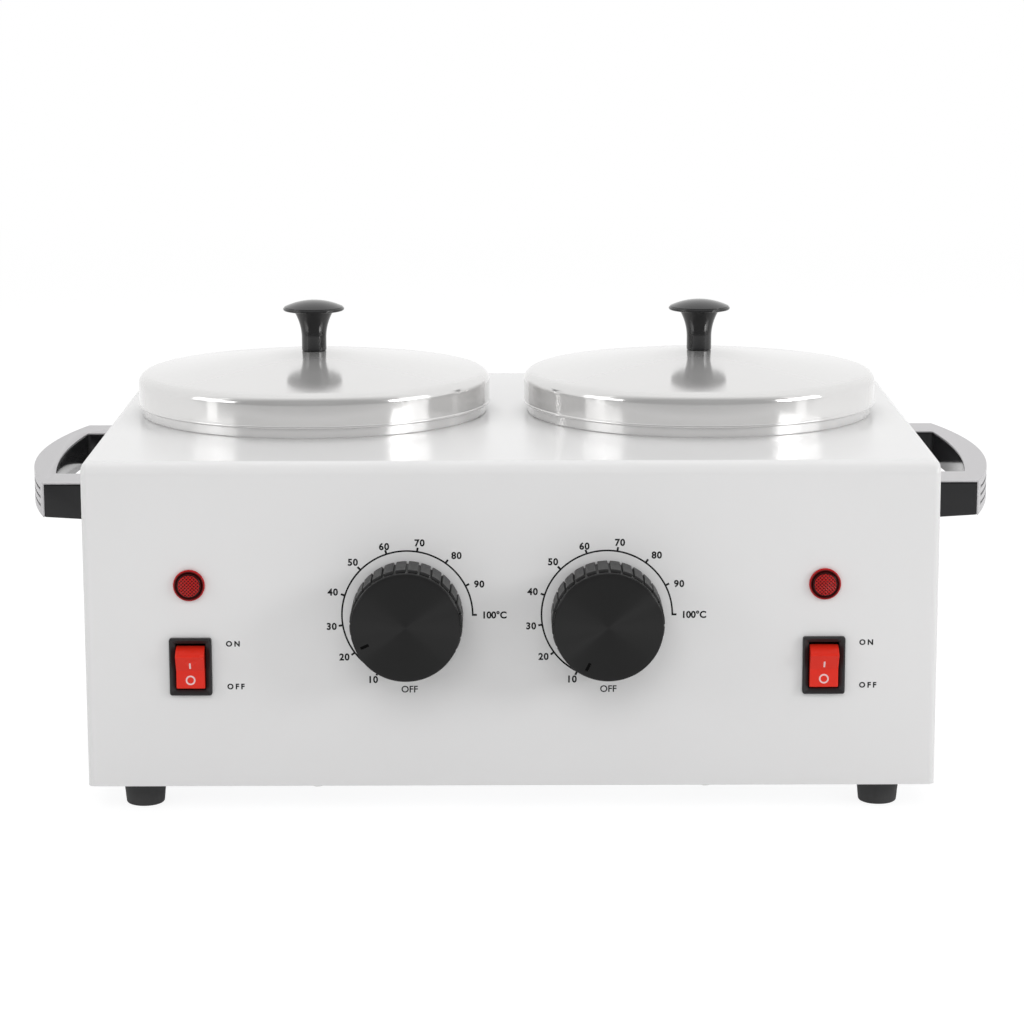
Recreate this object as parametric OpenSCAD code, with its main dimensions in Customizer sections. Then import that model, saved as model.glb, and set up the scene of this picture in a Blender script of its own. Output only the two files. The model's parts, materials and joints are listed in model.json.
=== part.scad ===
// Double wax warmer: a folded steel housing with two heated wells, each with a lift-out
// aluminium pot and lid, a thermostat dial, a rocker switch and a pilot lamp.

/* [Body] */
// Width of the steel housing
body_w = 306; // [300:1:330]
// Depth of the steel housing
body_d = 222; // [214:1:250]
// Height of the steel housing without its feet
body_h = 118.5; // [114:0.5:140]
// Thickness of the folded steel
sheet = 1.2; // [0.8:0.1:1.6]
// Outside radius of the front and rear top bends
bend_r = 5; // [3:0.5:7]
// Outside radius of the upright corners and of the top's side edges
edge_r = 2.5; // [2:0.5:4]
// Width of the flange turned in round the bottom
flange_w = 12; // [11:0.5:13]

/* [Base] */
// Play between the base plate and the housing walls
base_play = 0.3; // [0.2:0.1:0.6]
// Length of one cooling slot
vent_len = 34; // [20:1:44]
// Width of one cooling slot
vent_w = 3.2; // [2:0.2:4]
// Distance from one cooling slot to the next
vent_pitch = 9; // [7:0.5:10]
// Cooling slots under each pot
vent_count = 7; // [3:1:8]
// Shank diameter of the base screws
base_screw_d = 3; // [2.5:0.1:3.5]

/* [Feet] */
// Height of a rubber foot
foot_h = 11; // [9:0.5:14]
// Diameter of a foot where it meets the base
foot_top_d = 16; // [15:0.5:17]
// Diameter of a foot on the table
foot_bottom_d = 14; // [13:0.5:15]
// Radius round the lower edge of a foot
foot_edge_r = 1; // [0.5:0.25:1.5]
// Distance of a foot's axis from the housing's sides and front
foot_inset = 18.5; // [18:0.5:22]
// Shank diameter of the foot screws
foot_screw_d = 4; // [3:0.5:4]

/* [Pots] */
// Share of the spare width that lies between the two lids, the rest lying beside the wells
pot_spread = 0.38; // [0.2:0.01:0.8]
// Share of the room beside the wells by which pots and controls lie off the middle, left if negative
layout_lean = -0.134; // [-0.4:0.002:0.4]
// Distance of the pot axes behind the front panel
pot_back = 118; // [112:1:124]
// Outside diameter of a pot's wall
pot_d = 123; // [116:0.5:124]
// Thickness of a pot's wall
pot_wall = 1.2; // [0.8:0.1:1.6]
// Depth of a pot below the top plate
pot_drop = 58; // [48:1:62]
// Outside radius between a pot's wall and its bottom
pot_corner_r = 10; // [8:0.5:12]
// Reach of the turned-over rim beyond the pot's wall
rim_w = 5.4; // [4.6:0.1:5.6]
// Height of the rim above the top plate
rim_h = 15.1; // [13:0.1:17]
// Radius over the rim's outer edge
rim_edge_r = 3; // [2.5:0.1:3.1]

/* [Lids] */
// Play between a lid's skirt and the rim inside it
lid_play = 0.5; // [0.4:0.05:0.8]
// Thickness of a lid
lid_wall = 0.9; // [0.7:0.1:1]
// Radius of the lid's shallow dome
lid_dome_r = 276; // [240:2:320]
// Outside radius of the shoulder between dome and skirt
lid_shoulder_r = 4; // [3.9:0.1:5]
// Reach of the skirt down over the rim
lid_overlap = 11.4; // [8:0.2:12]
// Radius of the rolled bead along the skirt's lower edge
lid_bead_r = 0.6; // [0.5:0.05:0.7]
// Room left between a lid and the rim it sits on
lid_seat = 0.3; // [0.2:0.05:0.4]

/* [Lid knobs] */
// Diameter of a lid knob's cap
knob_cap_d = 23.8; // [22:0.2:28]
// Height of a lid knob
knob_h = 19.7; // [18:0.1:24]
// Diameter of the knob's stem on the lid
knob_stem_d = 9.6; // [9:0.1:11]
// Radius of the flare from the stem to the cap
knob_flare_r = 20; // [16:1:26]
// Height of the straight part of the stem
knob_straight = 5; // [4:0.5:7]
// Thickness of the cap at its edge
knob_edge_t = 1.2; // [1:0.1:1.6]
// Height of the cap's crown above its edge
knob_crown = 2.8; // [2:0.1:3.4]
// Shank diameter of the screw that holds a lid knob
knob_screw_d = 4; // [3:0.5:4]

/* [Wells] */
// Room between a pot and its well
well_gap = 1.1; // [0.8:0.1:1.4]
// Thickness of a well's wall
well_wall = 1.2; // [1:0.1:1.6]
// Width of the flange that hangs a well from the top plate
well_flange_w = 9; // [8:0.5:9.5]
// Height of the band heater round a well
band_h = 28; // [20:1:32]
// Thickness of the band heater
band_t = 2.4; // [1.6:0.1:3]
// Height of the band heater above the well's floor
band_lift = 14; // [12:0.5:16]
// Diameter of the temperature sensor under a well
sensor_d = 6; // [5:0.5:7]
// Length of the temperature sensor
sensor_len = 50; // [40:1:60]

/* [Handles] */
// Length of a handle along the housing's side
handle_len = 132; // [126:1:164]
// Height of a handle
handle_h = 14; // [12:0.5:16]
// Reach of a handle from the housing at its middle
handle_reach = 30.5; // [29:0.5:36]
// Reach of a handle at its ends
handle_end_reach = 19; // [17:0.5:22]
// Thickness of the grip at its middle
grip_t = 9.4; // [8:0.2:11]
// Depth of the finger gap at its ends
gap_end = 17.3; // [15.5:0.1:18]
// Length of each arm that carries the grip
arm_len = 20; // [18:1:26]
// Drop from the top plate to the top of a handle
handle_drop = 15.3; // [12:0.1:22]
// Thickness of the bright cover over a handle
cover_t = 1; // [1:0.1:1.5]
// Distance between the grooves along a handle
groove_pitch = 3.1; // [2.8:0.1:3.4]
// Width of a groove
groove_w = 0.9; // [0.6:0.1:1.2]
// Depth of a groove
groove_depth = 0.5; // [0.3:0.1:0.6]
// Distance from a groove's end to the end of the handle
groove_stop = 13; // [8:1:20]
// Shank diameter of the handle screws
handle_screw_d = 4; // [3:0.5:5]

/* [Dials] */
// Distance between the two dial axes
dial_pitch = 71.4; // [68:0.2:76]
// Height of the dial axes above the housing's lower edge
dial_z = 63.2; // [58:0.2:68]
// Diameter over the ribs of a dial knob
dial_rib_d = 40; // [39.5:0.5:42]
// Ribs round a dial knob
dial_ribs = 28; // [20:1:32]
// Width of the groove between two ribs
dial_groove_w = 0.9; // [0.6:0.1:1.2]
// Depth of the groove between two ribs
dial_groove_depth = 1; // [0.6:0.1:1.2]
// Length of the ribs
dial_rib_len = 15; // [12:0.5:17]
// Length of the recess in front of the ribs
dial_recess_len = 2.8; // [2:0.2:3.4]
// Depth of that recess
dial_recess_depth = 2; // [1.5:0.1:2.4]
// Diameter of the dial knob's face
dial_face_d = 38.8; // [38:0.2:39.6]
// Thickness of the dial knob's face
dial_face_t = 2.6; // [2:0.1:3]
// Gap between a dial knob and the front panel
dial_gap = 0.9; // [0.6:0.1:1.4]
// Diameter of the thermostat's shaft
shaft_d = 6; // [5:0.5:6.5]
// Depth of the flat on the shaft
shaft_flat = 1.5; // [1:0.1:1.8]
// Radial clearance of a turning shaft in its bore
shaft_fit = 0.05; // [0.03:0.01:0.08]
// Angle of the left pointer, anticlockwise from three o'clock
left_dial_angle = 204.6; // [0:0.1:270]
// Angle of the right pointer, anticlockwise from three o'clock
right_dial_angle = 243; // [0:0.1:270]

/* [Thermostats] */
// Width of a thermostat's case
thermo_w = 40; // [36:1:46]
// Height of a thermostat's case
thermo_h = 42; // [38:1:46]
// Depth of a thermostat's case
thermo_d = 26; // [22:1:30]
// Distance between a thermostat's two fixing screws
thermo_screw_pitch = 28; // [26:0.5:28.5]
// Shank diameter of those screws
thermo_screw_d = 3; // [2.5:0.1:3]

/* [Switches] */
// Distance of the switches and lamps from the housing's sides
switch_inset = 39.5; // [34:0.5:42]
// Height of the switches above the housing's lower edge
switch_z = 44.6; // [40:0.1:48]
// Width of a switch's frame
switch_w = 15.2; // [14.6:0.2:16]
// Height of a switch's frame
switch_h = 21; // [20:0.2:22]
// Thickness of the frame in front of the panel
switch_bezel_t = 2; // [1.5:0.1:2.5]
// Width of the switch's case behind the panel
switch_case_w = 13; // [12.8:0.1:13.4]
// Height of the switch's case behind the panel
switch_case_h = 19; // [18.8:0.1:19.6]
// Depth of the switch's case behind the panel
switch_case_d = 15; // [14:0.5:18]
// Width of a rocker
rocker_w = 10.3; // [10:0.1:10.5]
// Height of a rocker
rocker_h = 15.8; // [15.6:0.1:16.6]
// Side play of a rocker in its frame
rocker_play = 0.3; // [0.2:0.05:0.4]
// Travel of a rocker in degrees
rocker_travel = 28; // [16:1:30]
// Diameter of a rocker's pivot pins
rocker_pin_d = 2; // [1.6:0.1:2.2]
// Rise of a pressed rocker's flat above its frame
rocker_flush = 0.3; // [0.2:0.05:0.6]

/* [Lamps] */
// Height of the lamps above the housing's lower edge
lamp_z = 74.4; // [70:0.2:84]
// Diameter of a lamp's rim
lamp_rim_d = 11.4; // [11:0.2:12.4]
// Diameter of a lamp's barrel in the panel
lamp_barrel_d = 9.8; // [9:0.1:10]
// Diameter of a lamp's lens
lamp_lens_d = 8.8; // [8:0.1:9]
// Height of the lens above its rim
lamp_lens_h = 1.4; // [1:0.1:2]
// Length of a lamp's barrel behind the panel
lamp_len = 20; // [16:1:24]

/* [Mains entry] */
// Height of the cord gland above the housing's lower edge
gland_z = 24; // [20:1:30]
// Bore of the cord gland
gland_bore_d = 7.2; // [6:0.1:8]
// Diameter of the gland's threaded neck
gland_neck_d = 12; // [11.5:0.1:13]
// Diameter of the gland's flange
gland_flange_d = 19; // [18:0.5:22]
// Reach of the gland behind the housing
gland_reach = 9; // [7:0.5:12]

/* [Hidden] */

$fn = 96;
left = -1;
right = 1;

// Overlap of a cutting solid past the face that it opens
over = 1;
// Play of a screw's shank in its hole
screw_play = 0.15;
// Heads and nuts as multiples of the shank's diameter
head_ratio = 1.8;
head_h_ratio = 0.6;
nut_ratio = 2;
nut_h_ratio = 0.8;

// The origin lies under the middle of the whole outline, on the table
dial_len = dial_gap + dial_rib_len + dial_recess_len + dial_face_t;
front_y = -(body_d + gland_reach - dial_len) / 2;

// Places of the twin parts, side by side about a line that lies a little off the middle
function pot_at(side) = layout_shift + side * pot_x;
function dial_at(side) = layout_shift + side * dial_pitch / 2;
function switch_at(side) = layout_shift + side * switch_x;

// Housing
inner_w = body_w - 2 * sheet;
flange_gap = 0.5;

// Base
base_top = sheet;
base_screw_side = [-body_w / 2 + sheet + flange_w / 2, body_w / 2 - sheet - flange_w / 2];
base_screw_x = body_w * 0.23;
base_screw_front_y = sheet + flange_w / 2;
base_screw_rear_y = body_d - sheet - flange_w / 2;
base_screw_len = 7;

// Feet
foot_recess_h = 5.5;
foot_recess_d = 8.6;

// Pots and wells
pot_r = pot_d / 2;
rim_r = pot_r + rim_w;
rim_inner_r = 0.2;
well_r = pot_r + well_gap;
well_outer_r = well_r + well_wall;
well_flange_r = well_outer_r + well_flange_w;
well_floor_gap = 0.3;
well_floor = body_h - pot_drop - well_floor_gap;
well_corner_ease = 1.5;
well_corner_r = pot_corner_r - well_corner_ease;
well_stud_r = well_outer_r + well_flange_w / 2;
well_stud_d = 4;
well_stud_len = 8;
well_nut_ratio = 1.9;
well_trim_gap = 0.5;
well_stud_angles = [30, 150, 270];
band_play = 0.1;
band_r = well_outer_r + band_play;
band_outer_r = band_r + band_t;
band_z = well_floor + band_lift;
band_slit = 6;
band_ear = 9;
band_screw_d = 3;

// The sensors lie against the wells' floors in line with their thermostats
sensor_gap = 0.1;
sensor_z = well_floor - well_wall - sensor_d / 2 - sensor_gap;
sensor_forward = 6;
sensor_y = pot_back - sensor_len / 2 - sensor_forward;
capillary_d = 1.6;
clip_t = 1;
clip_w = 8;
clip_r = sensor_d / 2 + sensor_gap;
clip_ear = 6;

// Lids: the inner dome rests on the rim's top at this radius
rim_seat_r = rim_r - rim_edge_r;
lid_r = rim_r + lid_play + lid_wall;
lid_outer_r = lid_r - lid_wall + 2 * lid_bead_r;
spare_w = body_w / 2 - sheet - lid_outer_r - band_outer_r;
pot_x = lid_outer_r + pot_spread * spare_w;
layout_shift = layout_lean * (1 - pot_spread) * spare_w;
dome_inner_r = lid_dome_r - lid_wall;
dome_centre_z = body_h + rim_h + lid_seat - sqrt(pow(dome_inner_r, 2) - pow(rim_seat_r, 2));
lid_top_z = dome_centre_z + lid_dome_r;
lid_under_z = dome_centre_z + dome_inner_r;
lid_low_z = body_h + rim_h - lid_overlap;
knob_washer_d = 10;
knob_washer_t = 1;
knob_screw_depth = 9;
knob_rim_slope = 0.6;

// Handles
handle_y = body_d / 2;
handle_z = body_h - handle_drop - handle_h;
bow_rise = handle_reach - handle_end_reach;
bow_r = (pow(handle_len / 2, 2) + pow(bow_rise, 2)) / (2 * bow_rise);
bow_centre = handle_reach - bow_r;
gap_len = handle_len - 2 * arm_len;
gap_mid = handle_reach - grip_t;
gap_rise = gap_mid - gap_end;
gap_r = (pow(gap_len / 2, 2) + pow(gap_rise, 2)) / (2 * gap_rise);
gap_corner_r = 3;
groove_count = 3;
groove_end_depth = 0.2;
groove_end_ratio = 1.5;
groove_angle = asin((handle_len / 2 - groove_stop) / bow_r);
handle_screw_depth = 12;
handle_screw_room = 1;

// Dials
dial_r = dial_rib_d / 2;
dial_root_r = dial_r - dial_groove_depth;
dial_recess_r = dial_face_d / 2 - dial_recess_depth;
dial_front_wall = 3;
dial_screw_gap = 0.5;
dial_hub_d = 11;
dial_hollow_r = thermo_screw_pitch / 2 + thermo_screw_d * head_ratio / 2 + dial_screw_gap;
dial_face_z = dial_gap + dial_rib_len + dial_recess_len;
dial_web = 1;
dial_web_step = 0.4;
shaft_in = 13;
shaft_end_play = 0.3;
shaft_tip_play = 0.2;
shaft_front = 3;
shaft_out = dial_face_z - shaft_front;
pointer_w = 1.1;
pointer_len = 3;
pointer_edge = 2;
pointer_depth = 0.4;
shaft_hole_d = 10;

// Thermostats
thermo_screw_len = 6;
thermo_hole_len = 8;

// Switches and lamps
switch_x = body_w / 2 - switch_inset;
panel_play = 0.1;
rocker_pivot_y = 0.8;
rocker_r = rocker_h / 2;
rocker_pin_len = 0.8;
rocker_skirt = 1.6;
rocker_keel_w = 8;
rocker_keel_tip = 3;
rocker_keel_len = 5.5;
rocker_window_w = rocker_w + 2 * rocker_play;
rocker_window_h = rocker_h + 2 * rocker_play;
switch_cavity_d = 9;
blade_w = 6.3;
blade_t = 0.8;
blade_len = 8;
blade_pitch = 10;
rocker_pin_play = 0.08;
rocker_bore_len = rocker_w + 2 * rocker_pin_len + rocker_play;
switch_corner_r = 1.2;
lamp_rim_t = 1.6;
lamp_nut_w = 14;
lamp_nut_t = 3;
lamp_lens_depth = 3;
lamp_lens_play = 0.05;
lamp_rim_overlap = 0.5;

// Mains entry
gland_nut_w = 17;
gland_nut_t = 4;
gland_flange_t = 3;
gland_in = 8;
block_w = 38;
block_d = 16;
block_h = 14;
block_rear_gap = 34;
block_y = body_d - block_rear_gap;
block_pole_pitch = 12;
block_pole_d = 4;
block_pole_z = 6.3;
block_screw_x = 15;
block_screw_d = 3;
earth_x = 44;
earth_screw_d = 4;

// Places everything that stands on the table, measured from the housing's lower front edge
module on_table() {
    translate([0, front_y, foot_h]) children();
}

// A turned or drilled axis that comes out of the front panel, with the viewer along +Z
module out_of_panel(x, z) {
    translate([x, 0, z]) rotate([90, 0, 0]) children();
}

// What is cut off a right-angled corner to leave it round, with the arc's centre at the origin
module corner_cut(r) {
    difference() {
        square(r + over);
        circle(r);
    }
}

// An upright rectangle whose two top corners are round
module round_top(x0, x1, y0, y1, r_low_x, r_high_x) {
    difference() {
        translate([x0, y0]) square([x1 - x0, y1 - y0]);
        translate([x0 + r_low_x, y1 - r_low_x]) mirror([1, 0]) corner_cut(r_low_x);
        translate([x1 - r_high_x, y1 - r_high_x]) corner_cut(r_high_x);
    }
}

// A rectangle with four round corners, centred on the origin
module round_rect(w, h, r) {
    difference() {
        square([w, h], center = true);
        for (mx = [0, 1], my = [0, 1])
            mirror([mx, 0]) mirror([0, my]) translate([w / 2 - r, h / 2 - r]) corner_cut(r);
    }
}

// The folded box: bent along the front and rear top edges, softened at its sides
module box_form(w, d, h, r_bend, r_edge) {
    intersection() {
        translate([-w / 2, 0, 0]) rotate([90, 0, 90])
            linear_extrude(w) round_top(0, d, 0, h, r_bend, r_bend);
        translate([0, d / 2, 0]) linear_extrude(h) round_rect(w, d, r_edge);
        translate([0, d, 0]) rotate([90, 0, 0])
            linear_extrude(d) round_top(-w / 2, w / 2, 0, h, r_edge, r_edge);
    }
}

// A pan-head screw: the head below the origin, the shank along +Z
module screw(d, len) {
    translate([0, 0, -d * head_h_ratio]) cylinder(d = d * head_ratio, h = d * head_h_ratio);
    cylinder(d = d, h = len);
}

// A hexagon nut standing on the origin
module nut(d, w, t) {
    difference() {
        cylinder(d = w / cos(30), h = t, $fn = 6);
        translate([0, 0, -over]) cylinder(d = d, h = t + 2 * over);
    }
}

module at_feet() {
    for (sx = [left, right], y = [foot_inset, body_d - foot_inset])
        translate([sx * (body_w / 2 - foot_inset), y, 0]) children();
}

module at_base_screws() {
    for (x = [-base_screw_x, base_screw_x], y = [base_screw_front_y, base_screw_rear_y])
        translate([x, y, 0]) children();
    for (x = base_screw_side) translate([x, body_d / 2, 0]) children();
}

module at_pot(side) {
    translate([pot_at(side), pot_back, 0]) children();
}

module at_handle_screws(side) {
    for (end = [-1, 1])
        translate([side * body_w / 2, handle_y + end * (handle_len - arm_len) / 2,
            handle_z + (handle_h - cover_t) / 2])
            rotate([0, side * 90, 0]) children();
}

// Housing

// One sheet folded over the front, top and rear, with a flange turned in at either end
module cover() {
    color("white") on_table() difference() {
        union() {
            intersection() {
                shell_folds();
                translate([-inner_w / 2, -over, -over])
                    cube([inner_w, body_d + 2 * over, body_h + 2 * over]);
            }
            for (y = [sheet / 2, body_d - sheet - flange_w])
                translate([-inner_w / 2, y, base_top])
                    cube([inner_w, flange_w + sheet / 2, sheet]);
        }
        at_base_screws() cylinder(d = base_screw_d + 2 * screw_play, h = 4 * sheet);
        cover_openings();
    }
}

// A flat end panel, welded on flush with the folded cover
module side_panel(side) {
    color("white") on_table() mirror([side == left ? 1 : 0, 0, 0]) difference() {
        union() {
            intersection() {
                shell_folds();
                translate([inner_w / 2, -over, -over])
                    cube([2 * sheet, body_d + 2 * over, body_h + 2 * over]);
            }
            translate([inner_w / 2 - flange_w, sheet + flange_w + flange_gap, base_top])
                cube([flange_w + sheet / 2, body_d - 2 * (sheet + flange_w + flange_gap), sheet]);
        }
        at_base_screws() cylinder(d = base_screw_d + 2 * screw_play, h = 4 * sheet);
        at_handle_screws(right) translate([0, 0, -2 * sheet])
            cylinder(d = handle_screw_d + 2 * screw_play, h = 4 * sheet);
    }
}

module shell_folds() {
    difference() {
        box_form(body_w, body_d, body_h, bend_r, edge_r);
        translate([0, sheet, -over])
            box_form(inner_w, body_d - 2 * sheet, body_h - sheet + over,
                bend_r - sheet, edge_r - sheet);
    }
}

module cover_openings() {
    for (side = [left, right]) {
        at_pot(side) translate([0, 0, body_h - sheet - over])
            cylinder(r = well_r, h = sheet + 2 * over);
        out_of_panel(dial_at(side), dial_z) panel_hole(shaft_hole_d);
        for (s = [-1, 1])
            out_of_panel(dial_at(side) + s * thermo_screw_pitch / 2, dial_z)
                panel_hole(thermo_screw_d + 2 * screw_play);
        out_of_panel(switch_at(side), lamp_z) panel_hole(lamp_barrel_d + 2 * panel_play);
        translate([switch_at(side), sheet / 2, switch_z])
            cube([switch_case_w + 2 * panel_play, 2 * sheet, switch_case_h + 2 * panel_play],
                center = true);
    }
    translate([0, body_d + over, gland_z]) rotate([90, 0, 0])
        cylinder(d = gland_neck_d + 2 * panel_play, h = sheet + 2 * over);
}

// A round hole through the front panel, drilled along its own axis
module panel_hole(d) {
    translate([0, 0, -sheet - over]) cylinder(d = d, h = sheet + 2 * over);
}

module base_plate() {
    plate_w = body_w - 2 * (sheet + base_play);
    plate_d = body_d - 2 * (sheet + base_play);
    color("silver") on_table() difference() {
        translate([0, body_d / 2, 0]) linear_extrude(base_top) round_rect(plate_w, plate_d, edge_r);
        at_base_screws() hole_up(base_screw_d);
        at_feet() hole_up(foot_screw_d);
        for (side = [left, right]) at_pot(side) vent_slots();
        for (s = [-1, 1]) translate([s * block_screw_x, block_y, 0]) hole_up(block_screw_d);
        translate([earth_x, block_y, 0]) hole_up(earth_screw_d);
    }
}

module hole_up(d) {
    translate([0, 0, -over]) cylinder(d = d + 2 * screw_play, h = base_top + 2 * over);
}

module vent_slots() {
    for (i = [0 : vent_count - 1])
        translate([0, (i - (vent_count - 1) / 2) * vent_pitch, -over])
            linear_extrude(base_top + 2 * over) slot(vent_len, vent_w);
}

module slot(len, w) {
    square([len - w, w], center = true);
    for (s = [-1, 1]) translate([s * (len - w) / 2, 0]) circle(d = w);
}

module base_screws() {
    color("dimgray") on_table() at_base_screws() screw(base_screw_d, base_screw_len);
}

// Feet

module foot(side, y) {
    color("#202020") on_table() translate([side * (body_w / 2 - foot_inset), y, -foot_h])
        difference() {
            rotate_extrude() foot_profile();
            translate([0, 0, -over]) cylinder(d = foot_recess_d, h = foot_recess_h + over);
            cylinder(d = foot_screw_d + 2 * screw_play, h = foot_h + over);
        }
}

module foot_profile() {
    edge_x = foot_bottom_d / 2 - foot_edge_r;
    polygon([[0, 0], [edge_x, 0], [foot_bottom_d / 2, foot_edge_r], [foot_top_d / 2, foot_h],
        [0, foot_h]]);
    translate([edge_x, foot_edge_r]) circle(foot_edge_r);
}

module foot_screws() {
    color("silver") on_table() at_feet()
        translate([0, 0, -foot_h + foot_recess_h])
            screw(foot_screw_d, foot_h - foot_recess_h + base_top + foot_screw_d * nut_h_ratio + 1);
}

module foot_nuts() {
    color("silver") on_table() at_feet() translate([0, 0, base_top])
        nut(foot_screw_d + 2 * screw_play, foot_screw_d * nut_ratio * cos(30),
            foot_screw_d * nut_h_ratio);
}

// Handles, drawn for the right side with X out of the wall and Y along it

module handle_place(side) {
    on_table() translate([side * body_w / 2, handle_y, handle_z])
        mirror([side == left ? 1 : 0, 0, 0]) children();
}

// The handle seen from above, as far out as a given bow radius
module handle_outline(r) {
    intersection() {
        translate([bow_centre, 0]) circle(r, $fn = 360);
        translate([0, -handle_len / 2]) square([handle_reach + over, handle_len]);
    }
}

module handle_gap() {
    difference() {
        intersection() {
            translate([gap_mid - gap_r, 0]) circle(gap_r, $fn = 360);
            translate([-over, -gap_len / 2]) square([gap_mid + 2 * over, gap_len]);
        }
        for (m = [0, 1]) mirror([0, m])
            translate([gap_end - gap_corner_r, gap_len / 2 - gap_corner_r]) corner_cut(gap_corner_r);
    }
}

module handle_core(side) {
    core_h = handle_h - cover_t;
    color("#262626") handle_place(side) difference() {
        linear_extrude(core_h) difference() {
            handle_outline(bow_r - cover_t);
            handle_gap();
        }
        for (end = [-1, 1])
            translate([-over, end * (handle_len - arm_len) / 2, core_h / 2]) rotate([0, 90, 0])
                cylinder(d = handle_screw_d + 2 * screw_play, h = handle_screw_depth + over);
    }
}

module handle_cover(side) {
    color("silver") handle_place(side) difference() {
        linear_extrude(handle_h) difference() {
            handle_outline(bow_r);
            handle_gap();
        }
        translate([0, 0, -over]) linear_extrude(handle_h - cover_t + over) intersection() {
            translate([bow_centre, 0]) circle(bow_r - cover_t, $fn = 360);
            translate([-over, -handle_len / 2 - over])
                square([handle_reach + over, handle_len + 2 * over]);
        }
        for (i = [1 : groove_count])
            translate([bow_centre, 0, handle_h - i * groove_pitch]) handle_groove();
    }
}

module handle_groove() {
    rotate(-groove_angle) rotate_extrude(angle = 2 * groove_angle, $fn = 360)
        translate([bow_r - groove_depth, -groove_w / 2]) square([groove_depth + over, groove_w]);
    for (a = [-groove_angle, groove_angle]) rotate(a)
        translate([bow_r - groove_depth - groove_end_depth, 0, 0]) rotate([0, 90, 0])
            cylinder(d = groove_w * groove_end_ratio, h = groove_depth + over, $fn = 32);
}

module handle_screws() {
    color("silver") on_table() for (side = [left, right]) at_handle_screws(side)
        translate([0, 0, -sheet]) screw(handle_screw_d, sheet + handle_screw_depth - handle_screw_room);
}

// Wells and heaters

module well(side) {
    color("lightgray") on_table() at_pot(side) difference() {
        rotate_extrude($fn = 180) well_section();
        for (a = well_stud_angles) rotate(a) translate([well_stud_r, 0, body_h - 4 * sheet])
            cylinder(d = well_stud_d + 2 * screw_play, h = 4 * sheet);
        flange_trim(side);
    }
}

// In a narrow housing the flange is cut straight beside the wall and beside the other well
module flange_trim(side) {
    outer = body_w / 2 - sheet - well_trim_gap - side * pot_at(side);
    inner = pot_x - well_trim_gap;
    for (cut = [side * outer, -side * inner])
        translate([cut + sign(cut) * well_flange_r, 0, body_h - sheet - well_wall])
            cube([2 * well_flange_r, 2 * well_flange_r, 3 * well_wall], center = true);
}

module well_section() {
    difference() {
        bowl_section(well_outer_r, well_floor - well_wall, body_h - sheet, well_corner_r + well_wall);
        bowl_section(well_r, well_floor, body_h, well_corner_r);
    }
    translate([well_r, body_h - sheet - well_wall]) square([well_flange_r - well_r, well_wall]);
}

// Half the section of a round tub with a rounded bottom corner
module bowl_section(r, z0, z1, corner_r) {
    difference() {
        translate([0, z0]) square([r, z1 - z0]);
        translate([r - corner_r, z0 + corner_r]) mirror([0, 1]) corner_cut(corner_r);
    }
}

// Studs welded under the top plate, which hold the flanges of the wells
module well_studs() {
    color("silver") on_table() for (side = [left, right]) at_pot(side)
        for (a = well_stud_angles) rotate(a)
            translate([well_stud_r, 0, body_h - sheet - well_stud_len])
                cylinder(d = well_stud_d, h = well_stud_len);
}

module well_nuts() {
    color("silver") on_table() for (side = [left, right]) at_pot(side)
        for (a = well_stud_angles) rotate(a)
            translate([well_stud_r, 0, body_h - sheet - well_wall - well_stud_d * nut_h_ratio])
                nut(well_stud_d + 2 * screw_play, well_stud_d * well_nut_ratio * cos(30),
                    well_stud_d * nut_h_ratio);
}

module heater_band(side) {
    ear_y = band_r + band_t;
    color("#b0a080") on_table() at_pot(side) translate([0, 0, band_z]) difference() {
        union() {
            cylinder(r = band_r + band_t, h = band_h);
            for (s = [-1, 1]) translate([s * (band_slit + band_t) / 2 - band_t / 2, ear_y - band_t, 0])
                cube([band_t, band_ear + band_t, band_h]);
        }
        translate([0, 0, -over]) cylinder(r = band_r, h = band_h + 2 * over);
        translate([-band_slit / 2, 0, -over]) cube([band_slit, band_r + 2 * band_ear, band_h + 2 * over]);
        translate([-band_slit, ear_y + band_ear / 2, band_h / 2]) rotate([0, 90, 0])
            cylinder(d = band_screw_d + 2 * screw_play, h = 2 * band_slit);
    }
}

module band_screws() {
    span = band_slit + 2 * band_t;
    color("silver") on_table() for (side = [left, right]) at_pot(side)
        translate([-span / 2, band_r + band_t + band_ear / 2, band_z + band_h / 2])
            rotate([0, 90, 0]) screw(band_screw_d, span + 2);
}

module sensor(side) {
    color("#b87333") on_table() translate([dial_at(side), 0, sensor_z]) rotate([-90, 0, 0]) {
        translate([0, 0, sensor_y]) cylinder(d = sensor_d, h = sensor_len);
        translate([0, 0, sheet + thermo_d])
            cylinder(d = capillary_d, h = sensor_y - sheet - thermo_d + over);
    }
}

module sensor_clips() {
    ear_z = well_floor - well_wall - sensor_z;
    color("silver") on_table() for (side = [left, right])
        translate([dial_at(side), sensor_y + sensor_len / 2 + clip_w / 2, sensor_z])
            rotate([90, 0, 0]) linear_extrude(clip_w) difference() {
                union() {
                    circle(clip_r + clip_t);
                    translate([-clip_r - clip_t, 0]) square([2 * (clip_r + clip_t), ear_z]);
                    translate([-clip_r - clip_ear, ear_z - clip_t])
                        square([2 * (clip_r + clip_ear), clip_t]);
                }
                circle(clip_r);
                translate([-clip_r, 0]) square([2 * clip_r, ear_z + over]);
            }
}

// Thermostats, dials

module thermostat(side) {
    color("#d8d0c0") on_table() out_of_panel(dial_at(side), dial_z) difference() {
        translate([-thermo_w / 2, -thermo_h / 2, -sheet - thermo_d])
            cube([thermo_w, thermo_h, thermo_d]);
        translate([0, 0, -sheet - shaft_in]) cylinder(d = shaft_d + 2 * shaft_fit, h = shaft_in + over);
        for (s = [-1, 1]) translate([s * thermo_screw_pitch / 2, 0, -sheet - thermo_hole_len])
            cylinder(d = thermo_screw_d + 2 * screw_play, h = thermo_hole_len + over);
    }
}

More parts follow.
